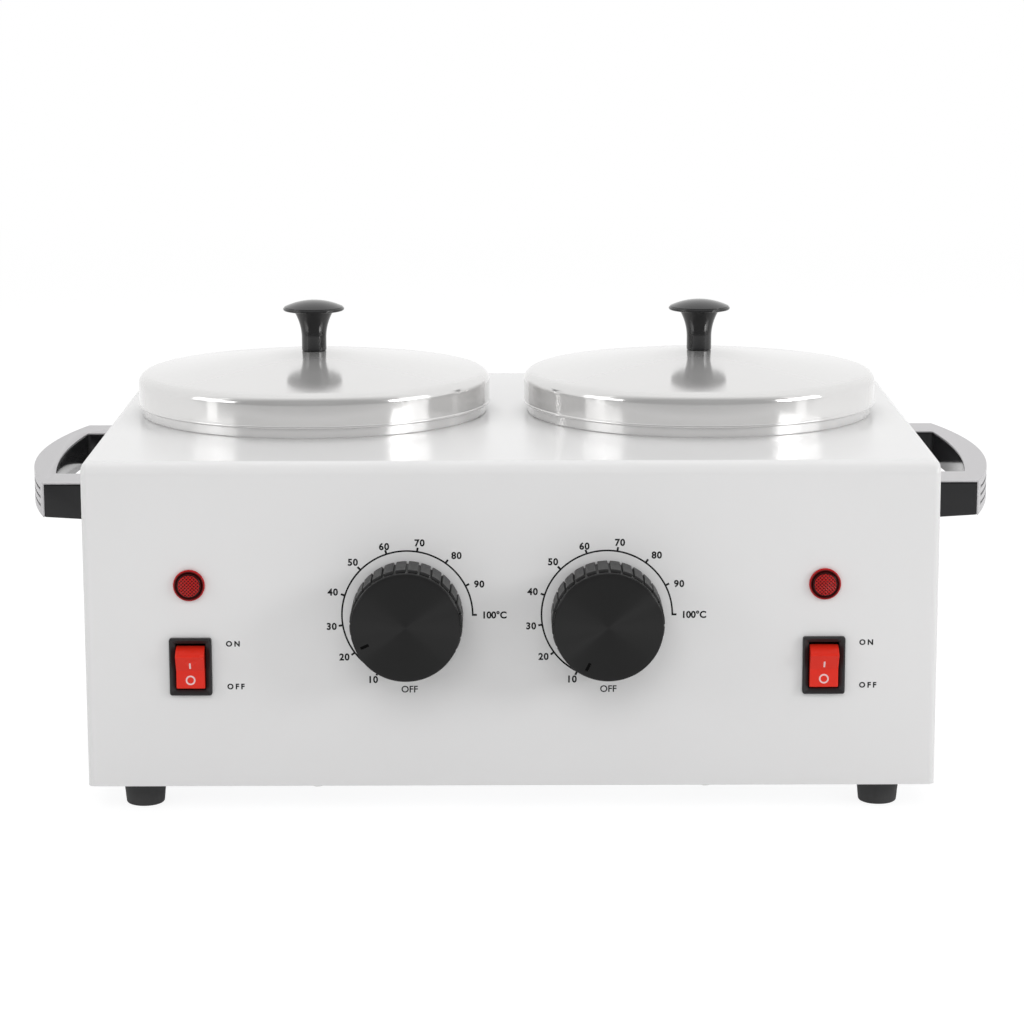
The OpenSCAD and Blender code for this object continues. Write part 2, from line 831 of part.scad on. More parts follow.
module thermostat_screws() {
    color("silver") on_table() for (side = [left, right], s = [-1, 1])
        out_of_panel(dial_at(side) + s * thermo_screw_pitch / 2, dial_z)
            rotate([180, 0, 0]) screw(thermo_screw_d, sheet + thermo_screw_len);
}

module dial_place(side) {
    angle = side == left ? left_dial_angle : right_dial_angle;
    on_table() out_of_panel(dial_at(side), dial_z) rotate(angle) children();
}

// A round shaft with a flat on the side away from the pointer
module flatted(d, flat, z0, z1) {
    difference() {
        translate([0, 0, z0]) cylinder(d = d, h = z1 - z0);
        translate([-d / 2 - over, -d, z0 - over]) cube([flat + over, 2 * d, z1 - z0 + 2 * over]);
    }
}

module dial_shaft(side) {
    color("silver") dial_place(side) {
        translate([0, 0, -sheet - shaft_in + shaft_end_play])
            cylinder(d = shaft_d, h = shaft_in - shaft_end_play + sheet + dial_gap);
        flatted(shaft_d, shaft_flat, dial_gap, shaft_out);
    }
}

module dial_knob(side) {
    rib_step = 360 / dial_ribs;
    color("#2c2c2c") dial_place(side) difference() {
        union() {
            difference() {
                translate([0, 0, dial_gap]) cylinder(r = dial_r, h = dial_rib_len);
                for (i = [0 : dial_ribs - 1]) rotate(i * rib_step)
                    translate([dial_root_r, -dial_groove_w / 2, 0])
                        cube([dial_groove_depth + over, dial_groove_w, dial_rib_len + 2 * over]);
            }
            translate([0, 0, dial_gap]) cylinder(r = dial_recess_r, h = dial_face_z - dial_gap);
            for (i = [0 : dial_ribs - 1]) rotate(i * rib_step)
                translate([dial_recess_r - over, -dial_web / 2, dial_gap + dial_rib_len - over])
                    cube([dial_recess_depth + over - dial_web_step, dial_web, dial_recess_len + over]);
        }
        difference() {
            translate([0, 0, dial_gap - over])
                cylinder(r = dial_hollow_r, h = dial_rib_len - dial_front_wall + over);
            translate([0, 0, dial_gap - over]) cylinder(d = dial_hub_d, h = dial_rib_len + 2 * over);
        }
        flatted(shaft_d + 2 * shaft_fit, shaft_flat, dial_gap - over, shaft_out + shaft_tip_play);
    }
}

module dial_face(side) {
    face_r = dial_face_d / 2;
    color("#3a3a3a") dial_place(side) difference() {
        translate([0, 0, dial_face_z]) cylinder(r = face_r, h = dial_face_t);
        translate([face_r - pointer_edge - pointer_len, -pointer_w / 2,
            dial_face_z + dial_face_t - pointer_depth])
            cube([pointer_len, pointer_w, pointer_depth + over]);
    }
}

// Switches and lamps

module switch_frame(side) {
    color("#222222") on_table() translate([switch_at(side), 0, switch_z]) difference() {
        union() {
            rotate([90, 0, 0]) linear_extrude(switch_bezel_t)
                round_rect(switch_w, switch_h, switch_corner_r);
            translate([-switch_case_w / 2, -over, -switch_case_h / 2])
                cube([switch_case_w, switch_case_d + sheet + over, switch_case_h]);
        }
        translate([-rocker_window_w / 2, -switch_bezel_t - over, -rocker_window_h / 2])
            cube([rocker_window_w, switch_bezel_t + over + switch_cavity_d, rocker_window_h]);
        translate([-rocker_bore_len / 2, rocker_pivot_y, 0]) rotate([0, 90, 0])
            cylinder(d = rocker_pin_d + 2 * rocker_pin_play, h = rocker_bore_len);
    }
}

module switch_terminals() {
    color("goldenrod") on_table() for (side = [left, right], s = [-1, 1])
        translate([switch_at(side) - blade_w / 2, sheet + switch_case_d,
            switch_z + (s * blade_pitch - blade_t) / 2])
            cube([blade_w, blade_len, blade_t]);
}

// A rocker at rest with its lower end pressed in
module rocker(side) {
    color("#d8261c") on_table() translate([switch_at(side), rocker_pivot_y, switch_z])
        rotate([rocker_travel / 2, 0, 0]) {
            translate([-rocker_w / 2, 0, 0]) rotate([90, 0, 90]) linear_extrude(rocker_w)
                rocker_section();
            translate([-rocker_w / 2 - rocker_pin_len, 0, 0]) rotate([0, 90, 0])
                cylinder(d = rocker_pin_d, h = rocker_w + 2 * rocker_pin_len);
        }
}

// Side view of a rocker about its pivot: a keel, ends that keep their gap as it tips, and
// two flats that meet in the middle, of which the pressed one lies along the panel
module rocker_section() {
    tilt = rocker_travel / 2;
    flat = rocker_pivot_y + switch_bezel_t + rocker_flush;
    middle = -flat / cos(tilt);
    far = rocker_r + over;
    end = middle - far * tan(tilt);
    intersection() {
        circle(rocker_r);
        polygon([[end, -far], [middle, 0], [end, far], [rocker_skirt, far],
            [rocker_skirt, -far]]);
    }
    polygon([[rocker_skirt, rocker_keel_w / 2], [rocker_keel_len, rocker_keel_tip / 2],
        [rocker_keel_len, -rocker_keel_tip / 2], [rocker_skirt, -rocker_keel_w / 2],
        [0, -rocker_keel_w / 2], [0, rocker_keel_w / 2]]);
}

module lamp_body(side) {
    color("#8c1410") on_table() out_of_panel(switch_at(side), lamp_z) difference() {
        union() {
            cylinder(d = lamp_rim_d, h = lamp_rim_t);
            translate([0, 0, -sheet - lamp_len])
                cylinder(d = lamp_barrel_d, h = sheet + lamp_len + lamp_rim_overlap);
        }
        translate([0, 0, lamp_rim_t - lamp_lens_depth])
            cylinder(d = lamp_lens_d + 2 * lamp_lens_play, h = lamp_lens_depth + over);
    }
}

module lamp_lens(side) {
    color("#e0281c") on_table() out_of_panel(switch_at(side), lamp_z)
        translate([0, 0, lamp_rim_t - lamp_lens_depth])
            cylinder(d = lamp_lens_d, h = lamp_lens_depth + lamp_lens_h);
}

module lamp_nuts() {
    color("#303030") on_table() for (side = [left, right])
        out_of_panel(switch_at(side), lamp_z) translate([0, 0, -sheet - lamp_nut_t])
            nut(lamp_barrel_d + 2 * panel_play, lamp_nut_w, lamp_nut_t);
}

// Mains entry

module gland_place() {
    on_table() translate([0, body_d, gland_z]) rotate([-90, 0, 0]) children();
}

module cord_gland() {
    color("#202020") gland_place() difference() {
        union() {
            cylinder(d = gland_flange_d, h = gland_flange_t);
            cylinder(d = gland_neck_d + 2, h = gland_reach);
            translate([0, 0, -gland_in]) cylinder(d = gland_neck_d, h = gland_in + over);
        }
        translate([0, 0, -gland_in - over])
            cylinder(d = gland_bore_d, h = gland_in + gland_reach + 2 * over);
    }
}

module gland_nut() {
    color("#202020") gland_place() translate([0, 0, -sheet - gland_nut_t])
        nut(gland_neck_d + 2 * panel_play, gland_nut_w, gland_nut_t);
}

module terminal_block() {
    color("ivory") on_table() translate([0, block_y, base_top]) difference() {
        translate([-block_w / 2, -block_d / 2, 0]) cube([block_w, block_d, block_h]);
        for (s = [-1, 1]) translate([s * block_screw_x, 0, -over])
            cylinder(d = block_screw_d + 2 * screw_play, h = block_h + 2 * over);
        for (s = [-1, 1]) translate([s * block_pole_pitch / 2, -block_d / 2 - over, block_pole_z])
            rotate([-90, 0, 0]) cylinder(d = block_pole_d, h = block_d + 2 * over);
    }
}

module terminal_screws() {
    color("silver") on_table() for (s = [-1, 1])
        translate([s * block_screw_x, block_y, base_top + block_h]) rotate([180, 0, 0])
            screw(block_screw_d, block_h + base_top + 2);
}

module earth_screw() {
    color("gold") on_table() translate([earth_x, block_y, base_top]) rotate([180, 0, 0])
        screw(earth_screw_d, base_top + 3);
}

// Pots and lids

module pot(side) {
    color("lightgray") on_table() at_pot(side) rotate_extrude($fn = 180) pot_section();
}

module pot_section() {
    floor_z = body_h - pot_drop;
    inner_r = pot_r - pot_wall;
    difference() {
        union() {
            bowl_section(pot_r, floor_z, body_h + rim_h - rim_edge_r, pot_corner_r);
            round_top(inner_r, rim_r, body_h, body_h + rim_h, pot_wall, rim_edge_r);
        }
        bowl_section(inner_r, floor_z + pot_wall, body_h + rim_h + over, pot_corner_r - pot_wall);
        round_top(pot_r, rim_r - pot_wall, body_h - over, body_h + rim_h - pot_wall,
            rim_inner_r, rim_edge_r - pot_wall);
    }
}

module lid(side) {
    color("lightgray") on_table() at_pot(side) difference() {
        rotate_extrude($fn = 180) lid_section();
        cylinder(d = knob_screw_d + 2 * screw_play, h = 2 * body_h);
    }
}

module lid_section() {
    difference() {
        dome_section(lid_r, lid_dome_r, lid_shoulder_r, lid_low_z + lid_bead_r);
        dome_section(lid_r - lid_wall, dome_inner_r, lid_shoulder_r - lid_wall, lid_low_z - over);
    }
    translate([lid_r - lid_wall + lid_bead_r, lid_low_z + lid_bead_r]) circle(lid_bead_r, $fn = 48);
}

// Half the section of a solid dome, a shoulder that touches it smoothly, and a straight skirt
module dome_section(r, dome_r, shoulder_r, z0) {
    shoulder_x = r - shoulder_r;
    shoulder_z = dome_centre_z + sqrt(pow(dome_r - shoulder_r, 2) - pow(shoulder_x, 2));
    touch_x = shoulder_x * dome_r / (dome_r - shoulder_r);
    intersection() {
        translate([0, dome_centre_z]) circle(dome_r, $fn = 720);
        translate([0, z0]) square([touch_x, dome_r]);
    }
    translate([shoulder_x, shoulder_z]) circle(shoulder_r);
    translate([0, z0]) square([r, shoulder_z - z0]);
}

module lid_knob(side) {
    color("#202020") on_table() at_pot(side) translate([0, 0, lid_top_z]) difference() {
        rotate_extrude() knob_section();
        translate([0, 0, -over]) cylinder(d = knob_screw_d + 2 * screw_play, h = knob_screw_depth + over);
    }
}

module knob_section() {
    stem_r = knob_stem_d / 2;
    cap_r = knob_cap_d / 2;
    edge_top = knob_h - knob_crown;
    edge_low = edge_top - knob_edge_t;
    under = edge_low - knob_rim_slope;
    flare = knob_flare_r - sqrt(pow(knob_flare_r, 2) - pow(under - knob_straight, 2));
    crown_r = (pow(cap_r, 2) + pow(knob_crown, 2)) / (2 * knob_crown);
    difference() {
        square([stem_r + flare, under + 0.1]);
        translate([stem_r + knob_flare_r, knob_straight]) circle(knob_flare_r, $fn = 180);
        translate([stem_r, -over]) square([flare + over, knob_straight + over]);
    }
    polygon([[0, under], [stem_r + flare, under], [cap_r, edge_low], [cap_r, edge_top], [0, edge_top]]);
    intersection() {
        translate([0, knob_h - crown_r]) circle(crown_r, $fn = 180);
        translate([0, edge_top - 0.1]) square([cap_r, knob_crown + over]);
    }
}

module lid_washer(side) {
    color("silver") on_table() at_pot(side) translate([0, 0, lid_under_z - knob_washer_t - 0.05])
        difference() {
            cylinder(d = knob_washer_d, h = knob_washer_t);
            translate([0, 0, -over])
                cylinder(d = knob_screw_d + 2 * screw_play, h = knob_washer_t + 2 * over);
        }
}

module lid_screw(side) {
    color("silver") on_table() at_pot(side) translate([0, 0, lid_under_z - knob_washer_t - 0.05])
        screw(knob_screw_d, knob_washer_t + lid_wall + knob_screw_depth - 1);
}

cover();
side_panel(left);  // side_panel_left
side_panel(right);  // side_panel_right
base_plate();
base_screws();
foot(left, foot_inset);  // foot_front_left
foot(right, foot_inset);  // foot_front_right
foot(left, body_d - foot_inset);  // foot_rear_left
foot(right, body_d - foot_inset);  // foot_rear_right
foot_screws();
foot_nuts();
handle_core(left);  // handle_core_left
handle_core(right);  // handle_core_right
handle_cover(left);  // handle_cover_left
handle_cover(right);  // handle_cover_right
handle_screws();
well(left);  // well_left
well(right);  // well_right
well_studs();
well_nuts();
heater_band(left);  // heater_band_left
heater_band(right);  // heater_band_right
band_screws();
sensor(left);  // sensor_left
sensor(right);  // sensor_right
sensor_clips();
thermostat(left);  // thermostat_left
thermostat(right);  // thermostat_right
thermostat_screws();
switch_frame(left);  // switch_frame_left
switch_frame(right);  // switch_frame_right
switch_terminals();
lamp_body(left);  // lamp_body_left
lamp_body(right);  // lamp_body_right
lamp_lens(left);  // lamp_lens_left
lamp_lens(right);  // lamp_lens_right
lamp_nuts();
cord_gland();
gland_nut();
terminal_block();
terminal_screws();
earth_screw();
pot(left);  // pot_left
pot(right);  // pot_right
lid(left);  // lid_left
lid(right);  // lid_right
lid_knob(left);  // lid_knob_left
lid_knob(right);  // lid_knob_right
lid_washer(left);  // lid_washer_left
lid_washer(right);  // lid_washer_right
lid_screw(left);  // lid_screw_left
lid_screw(right);  // lid_screw_right
dial_shaft(left);  // dial_shaft_left
dial_shaft(right);  // dial_shaft_right
dial_knob(left);  // dial_knob_left
dial_knob(right);  // dial_knob_right
dial_face(left);  // dial_face_left
dial_face(right);  // dial_face_right
rocker(left);  // rocker_left
rocker(right);  // rocker_right
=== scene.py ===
"""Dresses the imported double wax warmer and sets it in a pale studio.

Every size in a class is in millimetres and is turned into metres where a mesh is made. The
frame has X to the viewer's right, Y to the rear and Z up, with the table at zero.
"""
import json
import logging
import math
from dataclasses import dataclass, field
from enum import Enum

import bmesh
import bpy
from mathutils import Matrix, Vector


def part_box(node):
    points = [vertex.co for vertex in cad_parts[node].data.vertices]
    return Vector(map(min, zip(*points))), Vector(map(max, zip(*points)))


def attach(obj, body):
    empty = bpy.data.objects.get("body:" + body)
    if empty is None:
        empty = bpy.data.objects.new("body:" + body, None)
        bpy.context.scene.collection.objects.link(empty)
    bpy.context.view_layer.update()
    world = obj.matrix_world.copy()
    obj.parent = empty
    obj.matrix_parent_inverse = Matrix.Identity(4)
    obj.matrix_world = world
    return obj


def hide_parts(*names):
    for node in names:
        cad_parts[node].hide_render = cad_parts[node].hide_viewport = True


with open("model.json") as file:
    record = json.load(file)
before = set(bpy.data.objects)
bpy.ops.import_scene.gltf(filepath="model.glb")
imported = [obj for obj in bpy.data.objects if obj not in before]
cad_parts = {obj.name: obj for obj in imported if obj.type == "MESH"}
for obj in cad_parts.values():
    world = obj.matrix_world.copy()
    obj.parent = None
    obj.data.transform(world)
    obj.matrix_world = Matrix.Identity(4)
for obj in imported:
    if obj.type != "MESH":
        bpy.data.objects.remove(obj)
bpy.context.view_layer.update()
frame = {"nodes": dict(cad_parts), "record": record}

log = logging.getLogger("warmer")

# A millimetre in metres, the front panel's outer face, the housing's sheet, how far a cutter
# reaches past what it cuts, and how firmly large faces hold their normals
MM = 0.001
PANEL_Y = -104.85
SHEET = 1.2
CLEAR = 1.0
FACE_WEIGHT = 60
Colour = tuple[float, float, float]
Point2 = tuple[float, float]
Point3 = tuple[float, float, float]


class Side(Enum):
    """Which of the two like halves of the warmer a piece belongs to."""

    LEFT = "left"
    RIGHT = "right"

    @property
    def sign(self) -> int:
        """Minus one for the left half and one for the right."""
        return -1 if self is Side.LEFT else 1


class Cut(Enum):
    """What a second solid does to the first."""

    AWAY = "DIFFERENCE"
    ADD = "UNION"


class Graph:
    """A node tree that is built with few words."""

    def __init__(self, tree: bpy.types.NodeTree) -> None:
        """Starts on a tree.

        Args:
            tree: the shader or geometry tree that takes the nodes.
        """
        self.tree = tree

    def add(self, kind: str, sockets: dict | None = None, **settings: object) -> bpy.types.Node:
        """Adds a node, sets it and joins it up.

        Args:
            kind: the node's type name.
            sockets: input name or number to a value or to another node's output.
            settings: the node's own properties.

        Returns:
            The new node.
        """
        node = self.tree.nodes.new(kind)
        for name, value in settings.items():
            setattr(node, name, value)
        for key, value in (sockets or {}).items():
            if isinstance(value, bpy.types.NodeSocket):
                self.tree.links.new(value, node.inputs[key])
            else:
                node.inputs[key].default_value = value
        return node

    def calc(self, operation: str, *values: object) -> bpy.types.NodeSocket:
        """Works out a number from others with a Math node.

        Args:
            operation: the name of the operation.
            values: its inputs, each a number or an output.

        Returns:
            The result.
        """
        return self.add("ShaderNodeMath", dict(enumerate(values)), operation=operation).outputs[0]

    def blend(self, share: object, low: object, high: object) -> bpy.types.NodeSocket:
        """Mixes two colours.

        Args:
            share: how much of the second colour shows.
            low: the first colour.
            high: the second colour.

        Returns:
            The mixed colour.
        """
        node = self.add("ShaderNodeMix", {0: share, 6: low, 7: high}, data_type="RGBA")
        return node.outputs[2]

    def mix(self, share: object, low: object, high: object) -> bpy.types.NodeSocket:
        """Mixes two numbers.

        Args:
            share: how much of the second number counts.
            low: the first number.
            high: the second number.

        Returns:
            The mixed number.
        """
        return self.add("ShaderNodeMix", {0: share, 2: low, 3: high}, data_type="FLOAT").outputs[0]

    def spread(self, value: object, low: float, high: float, start: float = 0.0, end: float = 1.0,
               curve: str = "LINEAR") -> bpy.types.NodeSocket:
        """Maps one range onto another.

        Args:
            value: the output to map.
            low: what the start becomes.
            high: what the end becomes.
            start: where the value's own range starts.
            end: where it ends.
            curve: how the values between are spaced, as the node calls it.

        Returns:
            The mapped value.
        """
        node = self.add("ShaderNodeMapRange", {"Value": value, "From Min": start, "From Max": end,
                                               "To Min": low, "To Max": high},
                        interpolation_type=curve)
        return node.outputs[0]


# Finishes


@dataclass(frozen=True)
class Finish:
    """A surface with its colour, its gloss and the fine unevenness of both.

    The sizes of the unevenness are in millimetres, and the swings are shares.
    """

    name: str
    colour: Colour
    roughness: float
    metallic: float = 0.0
    specular: float = 0.5
    tone_swing: float = 0.03
    tone_size: float = 30.0
    gloss_swing: float = 0.15
    grain_size: float = 0.6
    grain_depth: float = 0.004
    grain_detail: float = 3.0

    def material(self) -> bpy.types.Material:
        """Gives the finish's material, and makes it the first time.

        Returns:
            The material.
        """
        found = bpy.data.materials.get(self.name)
        if found:
            return found
        made = bpy.data.materials.new(self.name)
        made.use_nodes = True
        shader = made.node_tree.nodes["Principled BSDF"]
        shader.inputs["Metallic"].default_value = self.metallic
        shader.inputs["Specular IOR Level"].default_value = self.specular
        self.dress(Graph(made.node_tree), shader)
        return made

    def noise(self, graph: Graph, size: float, detail: float = 2.0) -> bpy.types.NodeSocket:
        """Adds an even noise in the piece's own space.

        Args:
            graph: the material's tree.
            size: the size of a patch.
            detail: how many finer noises lie on it.

        Returns:
            The noise, about nought to one.
        """
        spot = graph.add("ShaderNodeTexCoord").outputs["Object"]
        texture = graph.add("ShaderNodeTexNoise",
                            {"Vector": spot, "Scale": 1.0 / (size * MM), "Detail": detail})
        return texture.outputs[0]

    def dress(self, graph: Graph, shader: bpy.types.Node) -> None:
        """Joins colour, gloss and relief to the shader.

        Args:
            graph: the material's tree.
            shader: its surface shader.
        """
        tone = self.noise(graph, self.tone_size)
        self.paint(graph, shader, tone, self.colour)
        self.grain(graph, shader)

    def paint(self, graph: Graph, shader: bpy.types.Node, tone: object, colour: Colour) -> None:
        """Joins a colour and a gloss that both swing with one tone.

        Args:
            graph: the material's tree.
            shader: its surface shader.
            tone: what the swing follows, nought to one.
            colour: the colour in the middle of the swing.
        """
        dark = (*[c * (1 - self.tone_swing) for c in colour], 1.0)
        light = (*[min(1.0, c * (1 + self.tone_swing)) for c in colour], 1.0)
        graph.tree.links.new(graph.blend(tone, dark, light), shader.inputs["Base Color"])
        low = self.roughness * (1 - self.gloss_swing)
        high = self.roughness * (1 + self.gloss_swing)
        graph.tree.links.new(graph.spread(tone, low, high), shader.inputs["Roughness"])

    def relief(self, graph: Graph, shader: bpy.types.Node, height: object, depth: float) -> None:
        """Joins a bump to the shader.

        Args:
            graph: the material's tree.
            shader: its surface shader.
            height: the relief, nought to one.
            depth: its depth in millimetres.
        """
        bump = graph.add("ShaderNodeBump", {"Height": height, "Distance": depth * MM, "Strength": 1.0})
        graph.tree.links.new(bump.outputs[0], shader.inputs["Normal"])

    def grain(self, graph: Graph, shader: bpy.types.Node) -> None:
        """Joins the finish's own fine grain to the shader as a bump.

        Args:
            graph: the material's tree.
            shader: its surface shader.
        """
        height = self.noise(graph, self.grain_size, self.grain_detail)
        self.relief(graph, shader, height, self.grain_depth)


@dataclass(frozen=True)
class TurnedFinish(Finish):
    """A finish with rings left by turning, which follow the form's own lathe attribute.

    A streak turn of a quarter draws highlights out across the rings, as on turned metal.
    """

    ring_size: float = 0.35
    ring_depth: float = 0.002
    ring_swing: float = 0.05
    anisotropy: float = 0.5
    streak_turn: float = 0.25
    ring_detail: float = 2.0

    def dress(self, graph: Graph, shader: bpy.types.Node) -> None:
        """Joins ringed colour, gloss and relief to the shader.

        Args:
            graph: the material's tree.
            shader: its surface shader.
        """
        lathe = graph.add("ShaderNodeAttribute", attribute_name="lathe").outputs["Fac"]
        rings = graph.add("ShaderNodeTexNoise",
                          {"W": lathe, "Scale": 1.0 / self.ring_size, "Detail": self.ring_detail},
                          noise_dimensions="1D").outputs[0]
        cloud = self.noise(graph, self.tone_size)
        tone = graph.calc("ADD", graph.calc("MULTIPLY", rings, self.ring_swing),
                         graph.calc("MULTIPLY", cloud, 1 - self.ring_swing))
        self.paint(graph, shader, tone, self.colour)
        self.relief(graph, shader, rings, self.ring_depth)
        around = graph.add("ShaderNodeTangent", direction_type="UV_MAP", uv_map="UVMap").outputs[0]
        graph.tree.links.new(around, shader.inputs["Tangent"])
        shader.inputs["Anisotropic"].default_value = self.anisotropy
        shader.inputs["Anisotropic Rotation"].default_value = self.streak_turn


@dataclass(frozen=True)
class ZincFinish(Finish):
    """Galvanised sheet with its flowers of zinc."""

    flower_size: float = 9.0

    def dress(self, graph: Graph, shader: bpy.types.Node) -> None:
        """Joins the flowers and a fine grain to the shader.

        Args:
            graph: the material's tree.
            shader: its surface shader.
        """
        spot = graph.add("ShaderNodeTexCoord").outputs["Object"]
        cells = graph.add("ShaderNodeTexVoronoi",
                          {"Vector": spot, "Scale": 1.0 / (self.flower_size * MM)})
        flower = graph.add("ShaderNodeSeparateColor", {0: cells.outputs["Color"]}).outputs[0]
        self.paint(graph, shader, flower, self.colour)
        self.grain(graph, shader)


@dataclass(frozen=True)
class PaintedLightPlastic(Finish):
    """Dyed see-through plastic with painted shade where it is deep and painted highlights on its edge or
    ridges.
    """

    # The colour of the painted highlight; the finish's own colour is the painted shade.
    bright: Colour = (0.7, 0.02, 0.015)
    measure: str = "reach"
    painted_shade_until: float = 0.0
    painted_highlight_from: float = 1.0

    def dress(self, graph: Graph, shader: bpy.types.Node) -> None:
        """Blends the painted shade colour into the painted highlight colour along one of the form's own
        attributes.

        Args:
            graph: the material's tree.
            shader: its surface shader.
        """
        value = graph.add("ShaderNodeAttribute", attribute_name=self.measure).outputs["Fac"]
        share = graph.spread(value, 0.0, 1.0, self.painted_shade_until, self.painted_highlight_from, "SMOOTHSTEP")
        cloud = self.noise(graph, self.tone_size)
        # Painted shade in the finish's own colour blends into the painted highlight along the attribute.
        deep = (*self.colour, 1.0)
        clear = (*self.bright, 1.0)
        dimmed_painted_highlight = (*[c * (1 - self.tone_swing) for c in self.bright], 1.0)
        shown = graph.blend(share, deep, graph.blend(cloud, dimmed_painted_highlight, clear))
        graph.tree.links.new(shown, shader.inputs["Base Color"])
        shader.inputs["Roughness"].default_value = self.roughness
        self.grain(graph, shader)


WHITE_PAINT = Finish("white_powder_coat", (0.80, 0.797, 0.797), 0.24, tone_swing=0.01,
                     tone_size=60.0, gloss_swing=0.08, grain_size=1.6, grain_depth=0.0035)
ZINC = ZincFinish("galvanised_sheet", (0.55, 0.56, 0.58), 0.34, metallic=0.9, tone_swing=0.12,
                  gloss_swing=0.3, grain_size=0.4)
PLATED = Finish("plated_steel", (0.62, 0.62, 0.60), 0.26, metallic=1.0, tone_swing=0.08,
                tone_size=2.0, grain_size=0.3, grain_depth=0.003)
RUBBER = Finish("foot_rubber", (0.010, 0.010, 0.0105), 0.55, specular=0.15, tone_swing=0.2,
                tone_size=4.0, grain_size=0.35, grain_depth=0.02)
HANDLE_BLACK = Finish("handle_black_plastic", (0.012, 0.012, 0.013), 0.16, specular=0.35,
                      tone_swing=0.15, tone_size=12.0, grain_size=0.5, grain_depth=0.006)
HANDLE_SILVER = Finish("handle_silver_lacquer", (0.50, 0.49, 0.50), 0.34, metallic=0.25,
                       tone_swing=0.04, tone_size=0.25, gloss_swing=0.1, grain_size=0.25,
                       grain_depth=0.003)
SPUN_LID = TurnedFinish("spun_aluminium_lid", (0.755, 0.749, 0.742), 0.12, metallic=0.62,
                        tone_swing=0.02, tone_size=25.0, ring_depth=0.0008, anisotropy=0.6)
SPUN_POT = TurnedFinish("spun_aluminium_pot", (0.80, 0.795, 0.79), 0.20, metallic=0.65,
                        tone_swing=0.06, ring_size=0.5, ring_depth=0.003, anisotropy=0.5)
WELL_STEEL = TurnedFinish("deep_drawn_steel", (0.50, 0.50, 0.51), 0.30, metallic=1.0,
                          tone_swing=0.08, ring_size=0.8, ring_depth=0.004, anisotropy=0.3)
HEATER = Finish("heater_sheath", (0.36, 0.32, 0.26), 0.5, metallic=0.7, tone_swing=0.15,
                tone_size=8.0, grain_size=0.8, grain_depth=0.02)
COPPER = Finish("sensor_copper", (0.72, 0.36, 0.22), 0.3, metallic=1.0, tone_swing=0.15,
                tone_size=5.0)
CASE = Finish("control_case_plastic", (0.42, 0.38, 0.30), 0.5, tone_swing=0.06, tone_size=10.0,
              grain_size=0.4, grain_depth=0.01)
DIAL_PLASTIC = Finish("dial_black_plastic", (0.040, 0.040, 0.040), 0.46, specular=0.3, tone_swing=0.2,
                      tone_size=3.0, grain_size=0.3, grain_depth=0.012)
DIAL_CAP = TurnedFinish("dial_turned_cap", (0.003, 0.003, 0.0031), 0.36, specular=0.36, tone_swing=0.3,
                        tone_size=10.0, ring_size=0.12, ring_depth=0.0015, ring_swing=0.5,
                        anisotropy=0.95)
SHAFT = Finish("shaft_steel", (0.6, 0.6, 0.6), 0.22, metallic=1.0, tone_swing=0.05)
SWITCH_BLACK = Finish("switch_black_plastic", (0.022, 0.021, 0.022), 0.40, specular=0.3, tone_swing=0.2,
                      tone_size=5.0, grain_size=0.3, grain_depth=0.01)
ROCKER_RED = Finish("rocker_red_plastic", (0.76, 0.026, 0.012), 0.26, specular=0.22, tone_swing=0.06,
                    tone_size=6.0, grain_size=0.4, grain_depth=0.002)
# The rim has a painted highlight along its outer edge and painted shade on its inner slope.
LAMP_RED = PaintedLightPlastic("lamp_red_rim", (0.060, 0.004, 0.004), 0.22, specular=0.2, tone_swing=0.4,
                       tone_size=2.5, grain_size=0.8, bright=(0.58, 0.012, 0.014), painted_shade_until=5.05,
                       painted_highlight_from=5.45)
# The lens has painted highlights on its waffle ridges and painted shade in the pits and round the
# waffle's edge.
LENS_RED = PaintedLightPlastic("lens_red_waffle", (0.040, 0.002, 0.002), 0.24, specular=0.2, tone_swing=0.3,
                       tone_size=3.0, grain_size=0.8, bright=(0.60, 0.012, 0.010), measure="ridge",
                       painted_shade_until=0.36, painted_highlight_from=0.92)
BRASS = Finish("terminal_brass", (0.70, 0.50, 0.22), 0.28, metallic=1.0, tone_swing=0.1,
               tone_size=3.0)
NYLON = Finish("gland_black_nylon", (0.020, 0.020, 0.020), 0.42, tone_swing=0.2, tone_size=5.0,
               grain_size=0.4, grain_depth=0.012)
IVORY = Finish("block_ivory_plastic", (0.62, 0.57, 0.44), 0.44, tone_swing=0.05)
KNOB_BLACK = Finish("knob_black_gloss", (0.008, 0.008, 0.0085), 0.12, specular=0.6, tone_swing=0.2,
                    tone_size=9.0, grain_size=2.0, grain_depth=0.004)
PRINT_BLACK = Finish("panel_ink", (0.010, 0.010, 0.011), 0.5, specular=0.2, tone_swing=0.25,
                     tone_size=1.5)
POINTER_BLACK = Finish("dial_pointer_black", (0.002, 0.002, 0.002), 0.6, specular=0.05, tone_swing=0.3,
                       tone_size=1.0)
MARK_WHITE = Finish("switch_mark_white", (0.84, 0.60, 0.60), 0.4, tone_swing=0.05, tone_size=1.0)

SLOT_FINISH: dict[str, Finish] = {
    "white_paint": WHITE_PAINT, "zinc_sheet": ZINC, "plated_fastener": PLATED,
    "foot_rubber": RUBBER, "handle_black": HANDLE_BLACK, "handle_silver": HANDLE_SILVER,
    "well_steel": WELL_STEEL, "spun_aluminium": SPUN_POT, "heater_sheath": HEATER,
    "sensor_copper": COPPER, "control_case": CASE, "dial_plastic": DIAL_PLASTIC,
    "dial_cap": DIAL_CAP, "shaft_steel": SHAFT, "switch_black": SWITCH_BLACK,
    "rocker_red": ROCKER_RED, "lamp_red": LAMP_RED, "lens_red": LENS_RED,
    "terminal_brass": BRASS, "gland_black": NYLON, "block_ivory": IVORY,
    "knob_black": KNOB_BLACK,
}


# Meshes


